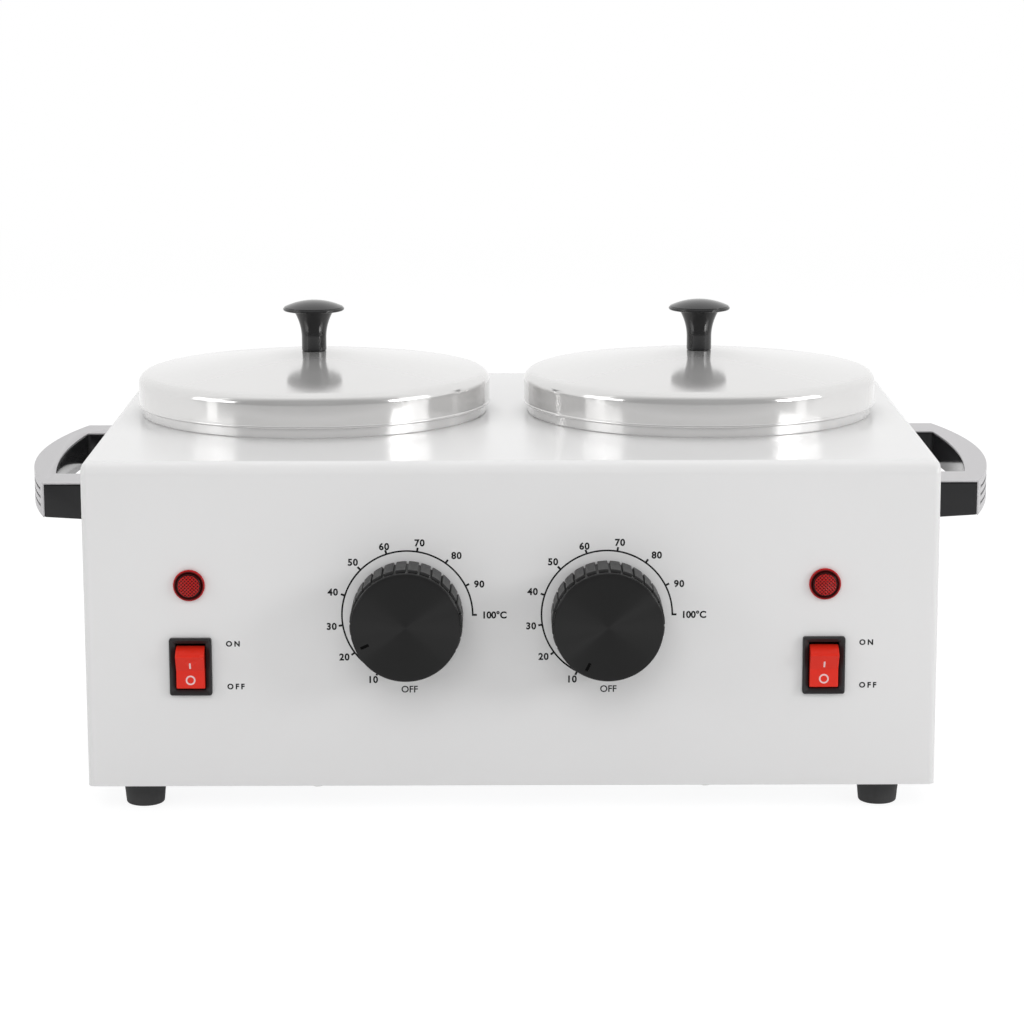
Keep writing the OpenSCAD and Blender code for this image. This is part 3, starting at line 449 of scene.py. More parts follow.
def new_piece(name: str, points: list[Point3], faces: list = (), edges: list = ()) -> bpy.types.Object:
    """Makes an object from points in millimetres.

    Args:
        name: the piece's name.
        points: its corners.
        faces: its faces, as corner numbers.
        edges: its loose edges, as corner numbers.

    Returns:
        The object, linked to the scene.
    """
    mesh = bpy.data.meshes.new(name)
    mesh.from_pydata([Vector(p) * MM for p in points], edges, faces)
    mesh.update()
    piece = bpy.data.objects.new(name, mesh)
    bpy.context.scene.collection.objects.link(piece)
    return piece


def settle(piece: bpy.types.Object) -> None:
    """Turns a piece and its modifiers into one plain mesh.

    Args:
        piece: the piece, which keeps its name.
    """
    bpy.context.view_layer.update()
    graph = bpy.context.evaluated_depsgraph_get()
    mesh = bpy.data.meshes.new_from_object(piece.evaluated_get(graph), preserve_all_data_layers=True,
                                           depsgraph=graph)
    piece.modifiers.clear()
    old = piece.data
    piece.data = mesh
    name = old.name
    bpy.data.meshes.remove(old)
    mesh.name = name


def combine(piece: bpy.types.Object, other: bpy.types.Object, how: Cut) -> None:
    """Adds a solid to a piece or cuts it away, and deletes it.

    Args:
        piece: the piece that changes.
        other: the solid that is used up.
        how: whether it is added or cut away.
    """
    change = piece.modifiers.new("change", "BOOLEAN")
    change.operation = how.value
    change.solver = "EXACT"
    change.object = other
    settle(piece)
    bpy.data.objects.remove(other)


def soften(piece: bpy.types.Object, radius: float, steps: int, angle: float = 40.0) -> None:
    """Rounds a piece's edges.

    Args:
        piece: the piece.
        radius: the width of the rounding in millimetres.
        steps: how many faces it takes.
        angle: the least angle in degrees that is rounded.
    """
    change = piece.modifiers.new("round", "BEVEL")
    change.width = radius * MM
    change.segments = steps
    change.limit_method = "ANGLE"
    change.angle_limit = math.radians(angle)
    change.harden_normals = False
    settle(piece)


def smooth(piece: bpy.types.Object, angle: float = 32.0, weighted: bool = True) -> None:
    """Shades a piece smoothly, with edges kept where it folds.

    Args:
        piece: the piece.
        angle: the least angle in degrees that stays an edge.
        weighted: whether large faces hold their normals flat.
    """
    mesh = piece.data
    mesh.shade_smooth()
    mesh.set_sharp_from_angle(angle=math.radians(angle))
    if weighted:
        change = piece.modifiers.new("weigh", "WEIGHTED_NORMAL")
        change.keep_sharp = True
        change.weight = FACE_WEIGHT
        settle(piece)


def outward(piece: bpy.types.Object) -> None:
    """Turns a closed piece's faces outwards if they point in.

    Args:
        piece: the piece.
    """
    work = bmesh.new()
    work.from_mesh(piece.data)
    if work.calc_volume(signed=True) < 0:
        bmesh.ops.reverse_faces(work, faces=work.faces)
    work.to_mesh(piece.data)
    work.free()


def wear(piece: bpy.types.Object, finish: Finish) -> None:
    """Gives a piece its finish.

    Args:
        piece: the piece.
        finish: what it is finished in.
    """
    piece.data.materials.clear()
    piece.data.materials.append(finish.material())


def hand_in(piece: bpy.types.Object, body: str, nodes: list[str] = ()) -> None:
    """Attaches a finished piece to its body and hides the CAD nodes it stands for.

    Args:
        piece: the piece.
        body: the CAD body it moves with.
        nodes: the CAD nodes it stands for.
    """
    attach(piece, body)
    if nodes:
        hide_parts(*nodes)
    log.info("%s: %d faces, on %s", piece.name, len(piece.data.polygons), body)


def join(name: str, pieces: list[bpy.types.Object]) -> bpy.types.Object:
    """Makes one piece out of several that share a finish.

    Args:
        name: the new piece's name.
        pieces: the pieces, which are used up.

    Returns:
        The joined piece.
    """
    work = bmesh.new()
    for piece in pieces:
        work.from_mesh(piece.data)
    mesh = bpy.data.meshes.new(name)
    work.to_mesh(mesh)
    work.free()
    for material in pieces[0].data.materials:
        mesh.materials.append(material)
    for piece in pieces:
        bpy.data.objects.remove(piece)
    joined = bpy.data.objects.new(name, mesh)
    bpy.context.scene.collection.objects.link(joined)
    return joined


def prism(name: str, outline: list[Point2], low: float, high: float) -> bpy.types.Object:
    """Raises an outline along Z.

    Args:
        name: the piece's name.
        outline: its corners, in order.
        low: its lower face.
        high: its upper face.

    Returns:
        The solid, with its faces outwards.
    """
    count = len(outline)
    points = [(x, y, low) for x, y in outline] + [(x, y, high) for x, y in outline]
    faces = [list(range(count))[::-1], list(range(count, 2 * count))]
    for i in range(count):
        j = (i + 1) % count
        faces.append([i, j, count + j, count + i])
    piece = new_piece(name, points, faces)
    outward(piece)
    return piece


def arc(centre: Point2, radius: float, start: float, end: float, steps: int) -> list[Point2]:
    """Points along an arc, both ends included.

    Args:
        centre: the arc's centre.
        radius: its radius.
        start: its first angle in degrees.
        end: its last angle in degrees.
        steps: how many straight runs it takes.

    Returns:
        The points.
    """
    angles = [math.radians(start + (end - start) * i / steps) for i in range(steps + 1)]
    return [(centre[0] + radius * math.cos(a), centre[1] + radius * math.sin(a)) for a in angles]


def circle(radius: float, steps: int) -> list[Point2]:
    """The corners of an even polygon that stands for a circle about the origin."""
    return arc((0, 0), radius, 0, 360 - 360 / steps, steps - 1)


def bar_outline(start: float, end: float, width: float) -> list[Point2]:
    """The corners of a bar that lies along X."""
    half = width / 2
    return [(start, -half), (end, -half), (end, half), (start, half)]


def round_rect(width: float, height: float, radius: float, steps: int = 4) -> list[Point2]:
    """A rectangle with round corners about the origin.

    Args:
        width: its width.
        height: its height.
        radius: the radius of its corners.
        steps: how many straight runs a corner takes.

    Returns:
        Its points, anticlockwise.
    """
    x = width / 2 - radius
    y = height / 2 - radius
    corners = [((x, y), 0), ((-x, y), 90), ((-x, -y), 180), ((x, -y), 270)]
    return [p for centre, start in corners for p in arc(centre, radius, start, start + 90, steps)]


def stack(name: str, rings: list[tuple[list[Point2], float]]) -> bpy.types.Object:
    """Skins a row of like outlines, each at its own height, and closes both ends.

    Args:
        name: the piece's name.
        rings: each outline with its height.

    Returns:
        The solid, with its faces outwards.
    """
    count = len(rings[0][0])
    points = [(x, y, z) for outline, z in rings for x, y in outline]
    faces = [list(range(count))[::-1], list(range(len(points) - count, len(points)))]
    for level in range(len(rings) - 1):
        for i in range(count):
            j = (i + 1) % count
            low, high = level * count, (level + 1) * count
            faces.append([low + i, low + j, high + j, high + i])
    piece = new_piece(name, points, faces)
    outward(piece)
    return piece


def place(piece: bpy.types.Object, at: Point3, turn: Matrix | None = None) -> None:
    """Puts a piece's mesh in its place, so that its object stays at the origin.

    Args:
        piece: the piece.
        at: where its own origin goes, in millimetres.
        turn: how it is turned first.
    """
    matrix = Matrix.Translation(Vector(at) * MM) @ (turn or Matrix())
    piece.data.transform(matrix)
    if matrix.determinant() < 0:
        piece.data.flip_normals()
    piece.data.update()


OUT_OF_PANEL = Matrix.Rotation(math.radians(90), 4, "X")
TO_THE_REAR = Matrix.Rotation(math.radians(-90), 4, "X")
UPRIGHT_SIDE_VIEW = Matrix(((0, 0, 1, 0), (1, 0, 0, 0), (0, 1, 0, 0), (0, 0, 0, 1)))


# Geometry node trees


class NodeForm:
    """A geometry node tree with named inputs, used through a modifier."""

    title = "form"
    inputs: dict[str, str] = {}

    def tree(self) -> bpy.types.NodeTree:
        """Gives the tree, and builds it the first time.

        Returns:
            The tree.
        """
        found = bpy.data.node_groups.get(self.title)
        if found:
            return found
        tree = bpy.data.node_groups.new(self.title, "GeometryNodeTree")
        tree.interface.new_socket(name="Geometry", in_out="INPUT", socket_type="NodeSocketGeometry")
        for name, kind in self.inputs.items():
            tree.interface.new_socket(name=name, in_out="INPUT", socket_type="NodeSocket" + kind)
        tree.interface.new_socket(name="Material", in_out="INPUT", socket_type="NodeSocketMaterial")
        tree.interface.new_socket(name="Geometry", in_out="OUTPUT", socket_type="NodeSocketGeometry")
        graph = Graph(tree)
        source = graph.add("NodeGroupInput")
        shape = self.build(graph, source)
        solid = graph.add("GeometryNodeRealizeInstances", {0: shape}).outputs[0]
        dressed = graph.add("GeometryNodeSetMaterial",
                            {"Geometry": solid, "Material": source.outputs["Material"]}).outputs[0]
        graph.add("NodeGroupOutput", {0: dressed})
        return tree

    def build(self, graph: Graph, source: bpy.types.Node) -> bpy.types.NodeSocket:
        """Makes the shape from the named inputs.

        Args:
            graph: the tree.
            source: its input node.

        Returns:
            The shape.
        """
        raise NotImplementedError

    def apply(self, piece: bpy.types.Object, finish: Finish, **values: float) -> None:
        """Runs the tree on a piece and leaves a plain mesh.

        Args:
            piece: the piece, whose mesh is what the tree starts from.
            finish: what the result is finished in.
            values: a value for each named input, with underscores for spaces.
        """
        tree = self.tree()
        change = piece.modifiers.new(self.title, "NODES")
        change.node_group = tree
        values = {name.replace("_", " "): value for name, value in values.items()}
        for socket in tree.interface.items_tree:
            if socket.in_out == "INPUT" and socket.name in values:
                change[socket.identifier] = values[socket.name]
            if socket.in_out == "INPUT" and socket.name == "Material":
                change[socket.identifier] = finish.material()
        settle(piece)


class Turned(NodeForm):
    """Spins a row of points round Z, and keeps where each face lies along the row."""

    title = "Turned form"
    inputs = {"Segments": "Int", "Pitch": "Float", "Relief": "Float", "Relief radius": "Float"}
    tiny = 1e-6

    def build(self, graph: Graph, source: bpy.types.Node) -> bpy.types.NodeSocket:
        """Wraps a grid round the axis, with a field of small pyramids if one is asked for.

        Args:
            graph: the tree.
            source: its input node.

        Returns:
            The turned surface.
        """
        row = source.outputs["Geometry"]
        segments = source.outputs["Segments"]
        count = graph.add("GeometryNodeAttributeDomainSize", {0: row}).outputs["Point Count"]
        across = graph.calc("ADD", segments, 1.0)
        grid = graph.add("GeometryNodeMeshGrid", {"Vertices X": across, "Vertices Y": count})
        index = graph.add("GeometryNodeInputIndex").outputs[0]
        column = graph.calc("FLOOR", graph.calc("DIVIDE", graph.calc("ADD", index, 0.5), count))
        along = graph.calc("SUBTRACT", index, graph.calc("MULTIPLY", column, count))
        spot = graph.add("GeometryNodeInputPosition").outputs[0]
        sample = graph.add("GeometryNodeSampleIndex", {0: row, 1: spot, 2: along},
                           data_type="FLOAT_VECTOR", domain="POINT")
        parts = graph.add("ShaderNodeSeparateXYZ", {0: sample.outputs[0]})
        radius, rise = parts.outputs[0], parts.outputs[2]
        turn = graph.calc("MULTIPLY", graph.calc("DIVIDE", column, segments), math.tau)
        x = graph.calc("MULTIPLY", radius, graph.calc("COSINE", turn))
        y = graph.calc("MULTIPLY", radius, graph.calc("SINE", turn))
        ridge = self.waffle(graph, source, x, y, radius)
        lifted = graph.calc("MULTIPLY_ADD", ridge, source.outputs["Relief"], rise)
        wrapped = graph.add("ShaderNodeCombineXYZ", {0: x, 1: y, 2: lifted}).outputs[0]
        moved = graph.add("GeometryNodeSetPosition", {"Geometry": grid.outputs[0], "Position": wrapped})
        shape = moved.outputs[0]
        lathe = graph.calc("DIVIDE", graph.calc("ADD", radius, rise), MM)
        reach = graph.calc("DIVIDE", radius, MM)
        for name, value in (("lathe", lathe), ("reach", reach), ("ridge", ridge)):
            shape = graph.add("GeometryNodeStoreNamedAttribute",
                              {"Geometry": shape, "Name": name, "Value": value},
                              data_type="FLOAT", domain="POINT").outputs[0]
        mapped = graph.add("GeometryNodeStoreNamedAttribute",
                           {"Geometry": shape, "Name": "UVMap",
                            "Value": grid.outputs["UV Map"]},
                           data_type="FLOAT2", domain="CORNER")
        merged = graph.add("GeometryNodeMergeByDistance",
                           {"Geometry": mapped.outputs[0], "Distance": self.tiny})
        return merged.outputs[0]

    def waffle(self, graph: Graph, source: bpy.types.Node, x: object, y: object,
               radius: object) -> bpy.types.NodeSocket:
        """Tells how near a spot is to a ridge of a diamond waffle inside a radius.

        Args:
            graph: the tree.
            source: its input node.
            x: the first coordinate.
            y: the second coordinate.
            radius: the distance from the axis.

        Returns:
            One on a ridge, nought in the middle of a pit and outside the waffle.
        """
        pitch = graph.calc("MAXIMUM", source.outputs["Pitch"], self.tiny)
        hollows = []
        for slant in (graph.calc("ADD", x, y), graph.calc("SUBTRACT", x, y)):
            hollows.append(graph.calc("PINGPONG", graph.calc("DIVIDE", slant, pitch), 0.5))
        pit = graph.calc("MINIMUM", hollows[0], hollows[1])
        ridge = graph.calc("MULTIPLY_ADD", pit, -2.0, 1.0)
        inside = graph.calc("LESS_THAN", radius, source.outputs["Relief radius"])
        return graph.calc("MULTIPLY", ridge, inside)


class RingOfCopies(NodeForm):
    """Repeats the piece's own mesh round Z."""

    title = "Ring of copies"
    inputs = {"Count": "Int", "Step": "Float"}

    def build(self, graph: Graph, source: bpy.types.Node) -> bpy.types.NodeSocket:
        """Puts a turned copy on each of a row of points at the origin.

        Args:
            graph: the tree.
            source: its input node.

        Returns:
            The copies.
        """
        points = graph.add("GeometryNodePoints", {"Count": source.outputs["Count"]}).outputs[0]
        index = graph.add("GeometryNodeInputIndex").outputs[0]
        angle = graph.calc("MULTIPLY", index, source.outputs["Step"])
        turn = graph.add("ShaderNodeCombineXYZ", {2: angle}).outputs[0]
        return graph.add("GeometryNodeInstanceOnPoints",
                         {"Points": points, "Instance": source.outputs["Geometry"],
                          "Rotation": turn}).outputs[0]


class CopiesAtPoints(NodeForm):
    """Repeats another object's mesh at each of the piece's own points."""

    title = "Copies at points"
    inputs = {"Copy": "Object"}

    def build(self, graph: Graph, source: bpy.types.Node) -> bpy.types.NodeSocket:
        """Puts a copy on each point.

        Args:
            graph: the tree.
            source: its input node.

        Returns:
            The copies.
        """
        copy = graph.add("GeometryNodeObjectInfo", {"Object": source.outputs["Copy"]})
        points = graph.add("GeometryNodeMeshToPoints", {0: source.outputs["Geometry"]}).outputs[0]
        return graph.add("GeometryNodeInstanceOnPoints",
                         {"Points": points, "Instance": copy.outputs["Geometry"]}).outputs[0]


class ArcStrip(NodeForm):
    """Draws a flat strip along an arc."""

    title = "Arc strip"
    inputs = {"Radius": "Float", "Sweep": "Float", "Width": "Float", "Height": "Float"}
    points = 120

    def build(self, graph: Graph, source: bpy.types.Node) -> bpy.types.NodeSocket:
        """Sweeps a small rectangle along the arc.

        Args:
            graph: the tree.
            source: its input node.

        Returns:
            The strip.
        """
        path = graph.add("GeometryNodeCurveArc",
                         {"Resolution": self.points, "Radius": source.outputs["Radius"],
                          "Start Angle": 0.0, "Sweep Angle": source.outputs["Sweep"]}).outputs[0]
        section = graph.add("GeometryNodeCurvePrimitiveQuadrilateral",
                            {"Width": source.outputs["Width"], "Height": source.outputs["Height"]})
        swept = graph.add("GeometryNodeCurveToMesh",
                          {"Curve": path, "Profile Curve": section.outputs[0], "Fill Caps": True})
        return swept.outputs[0]


TURNED = Turned()
RING = RingOfCopies()
SCATTER = CopiesAtPoints()
STRIP = ArcStrip()


def turned(name: str, row: list[Point2], finish: Finish, segments: int,
           **pyramids: float) -> bpy.types.Object:
    """Spins a section round Z.

    Args:
        name: the piece's name.
        row: the section's points as radius and height, from axis to axis or closed.
        finish: what the piece is finished in.
        segments: how many faces go round.
        pyramids: the pitch, height and reach of a field of small pyramids, if there is one.

    Returns:
        The piece, with its faces outwards.
    """
    points = [(r, 0.0, z) for r, z in row]
    piece = new_piece(name, points, edges=[(i, i + 1) for i in range(len(row) - 1)])
    TURNED.apply(piece, finish, Segments=segments, **pyramids)
    outward(piece)
    smooth(piece, weighted=False)
    return piece


def middle_of(node: str, side: Side) -> Vector:
    """The middle of one side's CAD node at rest, in millimetres."""
    low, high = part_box(f"{node}_{side.value}")
    return (Vector(low) + Vector(high)) / 2 / MM


# The object's pieces


@dataclass
class Housing:
    """The folded white housing, as one shell with every opening in it."""

    width: float = 306.0
    depth: float = 222.0
    height: float = 118.5
    sheet: float = SHEET
    bend: float = 5.0
    edge: float = 2.5
    flange: float = 12.0
    front_y: float = PANEL_Y
    foot: float = 11.0
    pot_hole: float = 62.6
    shaft_hole: float = 5.0
    lamp_hole: float = 5.0
    switch_hole: tuple[float, float] = (13.2, 19.2)
    gland_z: float = 35.0
    gland_hole: float = 6.1
    switch_corner: float = 0.4
    opening_corner: float = 1.0
    cutter_length: float = 8.0
    large_hole: float = 20.0
    hole_steps: tuple[int, int] = (48, 128)
    bend_steps: int = 10
    edge_steps: int = 5
    near: float = 0.01

    def box(self, name: str, inset: float, base: float) -> bpy.types.Object:
        """Makes the folded form as a solid.

        Args:
            name: the solid's name.
            inset: how far it lies inside the housing's outer face.
            base: its lower face, above the housing's lower edge.

        Returns:
            The solid.
        """
        half = self.width / 2 - inset
        front, rear = inset, self.depth - inset
        low, high = base, self.height - inset
        bend = self.bend - inset
        side = [(front, low)]
        side += arc((front + bend, high - bend), bend, 180, 90, self.bend_steps)
        side += arc((rear - bend, high - bend), bend, 90, 0, self.bend_steps)
        side += [(rear, low)]
        piece = prism(name, side, -half, half)
        place(piece, (0, 0, 0), UPRIGHT_SIDE_VIEW)
        self.round_ends(piece, half, low, self.edge - inset)
        place(piece, (0, self.front_y, self.foot))
        outward(piece)
        return piece

    def round_ends(self, piece: bpy.types.Object, half: float, low: float, radius: float) -> None:
        """Rounds the outline of both end faces, apart from their lower edges.

        Args:
            piece: the solid.
            half: half its width.
            low: its lower face.
            radius: the radius of the rounding.
        """
        work = bmesh.new()
        work.from_mesh(piece.data)
        chosen = []
        for edge in work.edges:
            a, b = (v.co / MM for v in edge.verts)
            at_end = abs(abs(a.x) - half) < self.near and abs(a.x - b.x) < self.near
            at_foot = abs(a.z - low) < self.near and abs(b.z - low) < self.near
            if at_end and not at_foot:
                chosen.append(edge)
        bmesh.ops.bevel(work, geom=chosen, offset=radius * MM, offset_type="OFFSET",
                        segments=self.edge_steps, profile=0.5, affect="EDGES")
        work.to_mesh(piece.data)
        work.free()

    def cutter(self, outline: list[Point2], at: Point3, turn: Matrix | None = None) -> bpy.types.Object:
        """Makes a cutter centred on a point.

        Args:
            outline: its outline.
            at: its middle.
            turn: how it is turned from upright.

        Returns:
            The cutter.
        """
        piece = prism("cutter", outline, -self.cutter_length / 2, self.cutter_length / 2)
        place(piece, at, turn)
        return piece

    def hole(self, radius: float) -> list[Point2]:
        """The outline of a round hole, with more corners where it is large."""
        few, many = self.hole_steps
        return circle(radius, many if radius > self.large_hole else few)

    def cutters(self) -> list[bpy.types.Object]:
        """Makes every opening in the housing as a solid.

        Returns:
            The solids.
        """
        top = self.foot + self.height
        rear = self.front_y + self.depth
        made = []
        for side in Side:
            pot = middle_of("pot", side)
            made.append(self.cutter(self.hole(self.pot_hole), (pot.x, pot.y, top)))
            for node, outline in (("dial_face", self.hole(self.shaft_hole)),
                                  ("lamp_lens", self.hole(self.lamp_hole)),
                                  ("switch_frame", round_rect(*self.switch_hole, self.switch_corner))):
                at = middle_of(node, side)
                made.append(self.cutter(outline, (at.x, self.front_y, at.z), OUT_OF_PANEL))
        made.append(self.cutter(self.hole(self.gland_hole), (0, rear, self.gland_z), OUT_OF_PANEL))
        return made

    def build(self) -> None:
        """Makes the housing's shell with its openings and its lower flange."""
        piece = self.box("housing_shell", 0.0, 0.0)
        combine(piece, self.box("hollow", self.sheet, -CLEAR), Cut.AWAY)
        ring = prism("ring", round_rect(self.width - self.sheet, self.depth - self.sheet, self.edge),
                     self.sheet, 2 * self.sheet)
        opening = prism("opening", round_rect(self.width - 2 * (self.sheet + self.flange),
                                              self.depth - 2 * (self.sheet + self.flange),
                                              self.opening_corner), 0, 4 * self.sheet)
        combine(ring, opening, Cut.AWAY)
        place(ring, (0, self.front_y + self.depth / 2, self.foot))
        combine(piece, ring, Cut.ADD)
        for cutter in self.cutters():
            combine(piece, cutter, Cut.AWAY)
        smooth(piece)
        wear(piece, WHITE_PAINT)
        hand_in(piece, "housing", ["cover", "side_panel_left", "side_panel_right"])


@dataclass
class PanelPrint:
    """What is printed on the front panel: two temperature scales and the switches' words."""

    front_y: float = PANEL_Y
    proud: float = 0.03
    arc_radius: float = 23.4
    arc_sweep: float = 243.0
    line: float = 0.60
    tick: float = 1.8
    tick_width: float = 0.72
    tick_step: float = 27.0
    ticks: int = 10
    tick_proud: float = 0.9
    letter_size: float = 1.37
    letter_steps: int = 4
    digit: float = 2.5
    digit_spacing: float = 1.12
    digit_weight: float = 0.125
    numbers: tuple[tuple[int, float, float], ...] = (
        (90, 23.6, 28.1), (80, 50.8, 28.0), (70, 80.1, 26.7), (60, 107.9, 26.3), (50, 134.9, 27.3),
        (40, 162.3, 27.9), (30, 188.6, 27.4), (20, 214.1, 27.4), (10, 242.6, 26.7))
    full_reach: float = 27.2
    off_drop: float = 27.3
    off_shift: float = 0.6
    off_weight: float = 0.05
    word: float = 2.0
    word_spacing: float = 1.5
    word_weight: float = 0.11
    word_reach: float = 12.7
    on_rise: float = 8.2
    off_sink: float = 7.55
    off_indent: float = 0.2

    def on_panel(self, piece: bpy.types.Object, x: float, z: float) -> None:
        """Lays a piece drawn in X and Y on the panel.

        Args:
            piece: the piece.
            x: where its origin goes, across.
            z: where its origin goes, up.
        """
        place(piece, (x, self.front_y, z), OUT_OF_PANEL)

    def lettering(self, text: str, height: float, x: float, z: float, spacing: float,
                  weight: float, anchor: float = 0.5) -> bpy.types.Object:
        """Sets a word or a number on the panel.

        Args:
            text: what it says.
            height: the height of its capitals.
            x: where its anchor goes, across.
            z: where its middle goes, up.
            spacing: the distance between letters as a share of the usual.
            weight: how far its strokes are thickened.
            anchor: where in its width its anchor is, from nought at the left.

        Returns:
            The lettering as a thin solid.
        """
        curve = bpy.data.curves.new("lettering", "FONT")
        curve.body = text
        curve.size = height * MM * self.letter_size
        curve.space_character = spacing
        curve.offset = weight * MM
        curve.extrude = self.proud * MM / 2
        curve.resolution_u = self.letter_steps
        piece = bpy.data.objects.new("lettering", curve)
        bpy.context.scene.collection.objects.link(piece)
        bpy.context.view_layer.update()
        graph = bpy.context.evaluated_depsgraph_get()
        mesh = bpy.data.meshes.new_from_object(piece.evaluated_get(graph))
        bpy.data.objects.remove(piece)
        solid = bpy.data.objects.new("lettering", mesh)
        bpy.context.scene.collection.objects.link(solid)
        across = [v.co.x / MM for v in mesh.vertices]
        up = [v.co.y / MM for v in mesh.vertices]
        start = min(across) + anchor * (max(across) - min(across))
        place(solid, (-start, -(min(up) + max(up)) / 2, self.proud / 2))
        self.on_panel(solid, x, z)
        return solid

    def scale(self, side: Side) -> None:
        """Makes one dial's scale with its numbers.

        Args:
            side: which dial.
        """
        at = middle_of("dial_face", side)
        strip = new_piece("strip", [(0, 0, 0)])
        STRIP.apply(strip, PRINT_BLACK, Radius=self.arc_radius * MM, Width=self.line * MM,
                    Height=self.proud * MM, Sweep=math.radians(self.arc_sweep))
        outward(strip)
        place(strip, (0, 0, self.proud / 2))
        start = self.arc_radius - self.line / 2
        bar = prism("bar", bar_outline(start, start + self.tick, self.tick_width), 0,
                    self.proud * self.tick_proud)
        RING.apply(bar, PRINT_BLACK, Count=self.ticks, Step=math.radians(self.tick_step))
        for piece in (strip, bar):
            self.on_panel(piece, at.x, at.z)
        pieces = [strip, bar]
        for number, degrees, reach in self.numbers:
            angle = math.radians(degrees)
            pieces.append(self.lettering(str(number), self.digit, at.x + reach * math.cos(angle),
                                         at.z + reach * math.sin(angle), self.digit_spacing,
                                         self.digit_weight))
        pieces.append(self.lettering("100°C", self.digit, at.x + self.full_reach, at.z, 1.0,
                                     self.digit_weight, 0.0))
        pieces.append(self.lettering("OFF", self.digit, at.x + self.off_shift, at.z - self.off_drop,
                                     1.0, self.off_weight))
        piece = join("dial_scale_" + side.value, pieces)
        wear(piece, PRINT_BLACK)
        hand_in(piece, "housing")

    def words(self, side: Side) -> None:
        """Makes one switch's two words.

        Args:
            side: which switch.
        """
        at = middle_of("switch_frame", side)
        x = at.x + self.word_reach
        on = self.lettering("ON", self.word, x, at.z + self.on_rise, self.word_spacing,
                            self.word_weight, 0.0)
        off = self.lettering("OFF", self.word, x + self.off_indent, at.z - self.off_sink,
                             self.word_spacing, self.word_weight, 0.0)
        piece = join("switch_words_" + side.value, [on, off])
        wear(piece, PRINT_BLACK)
        hand_in(piece, "housing")

    def build(self) -> None:
        """Makes the print of both halves."""
        for side in Side:
            self.scale(side)
            self.words(side)


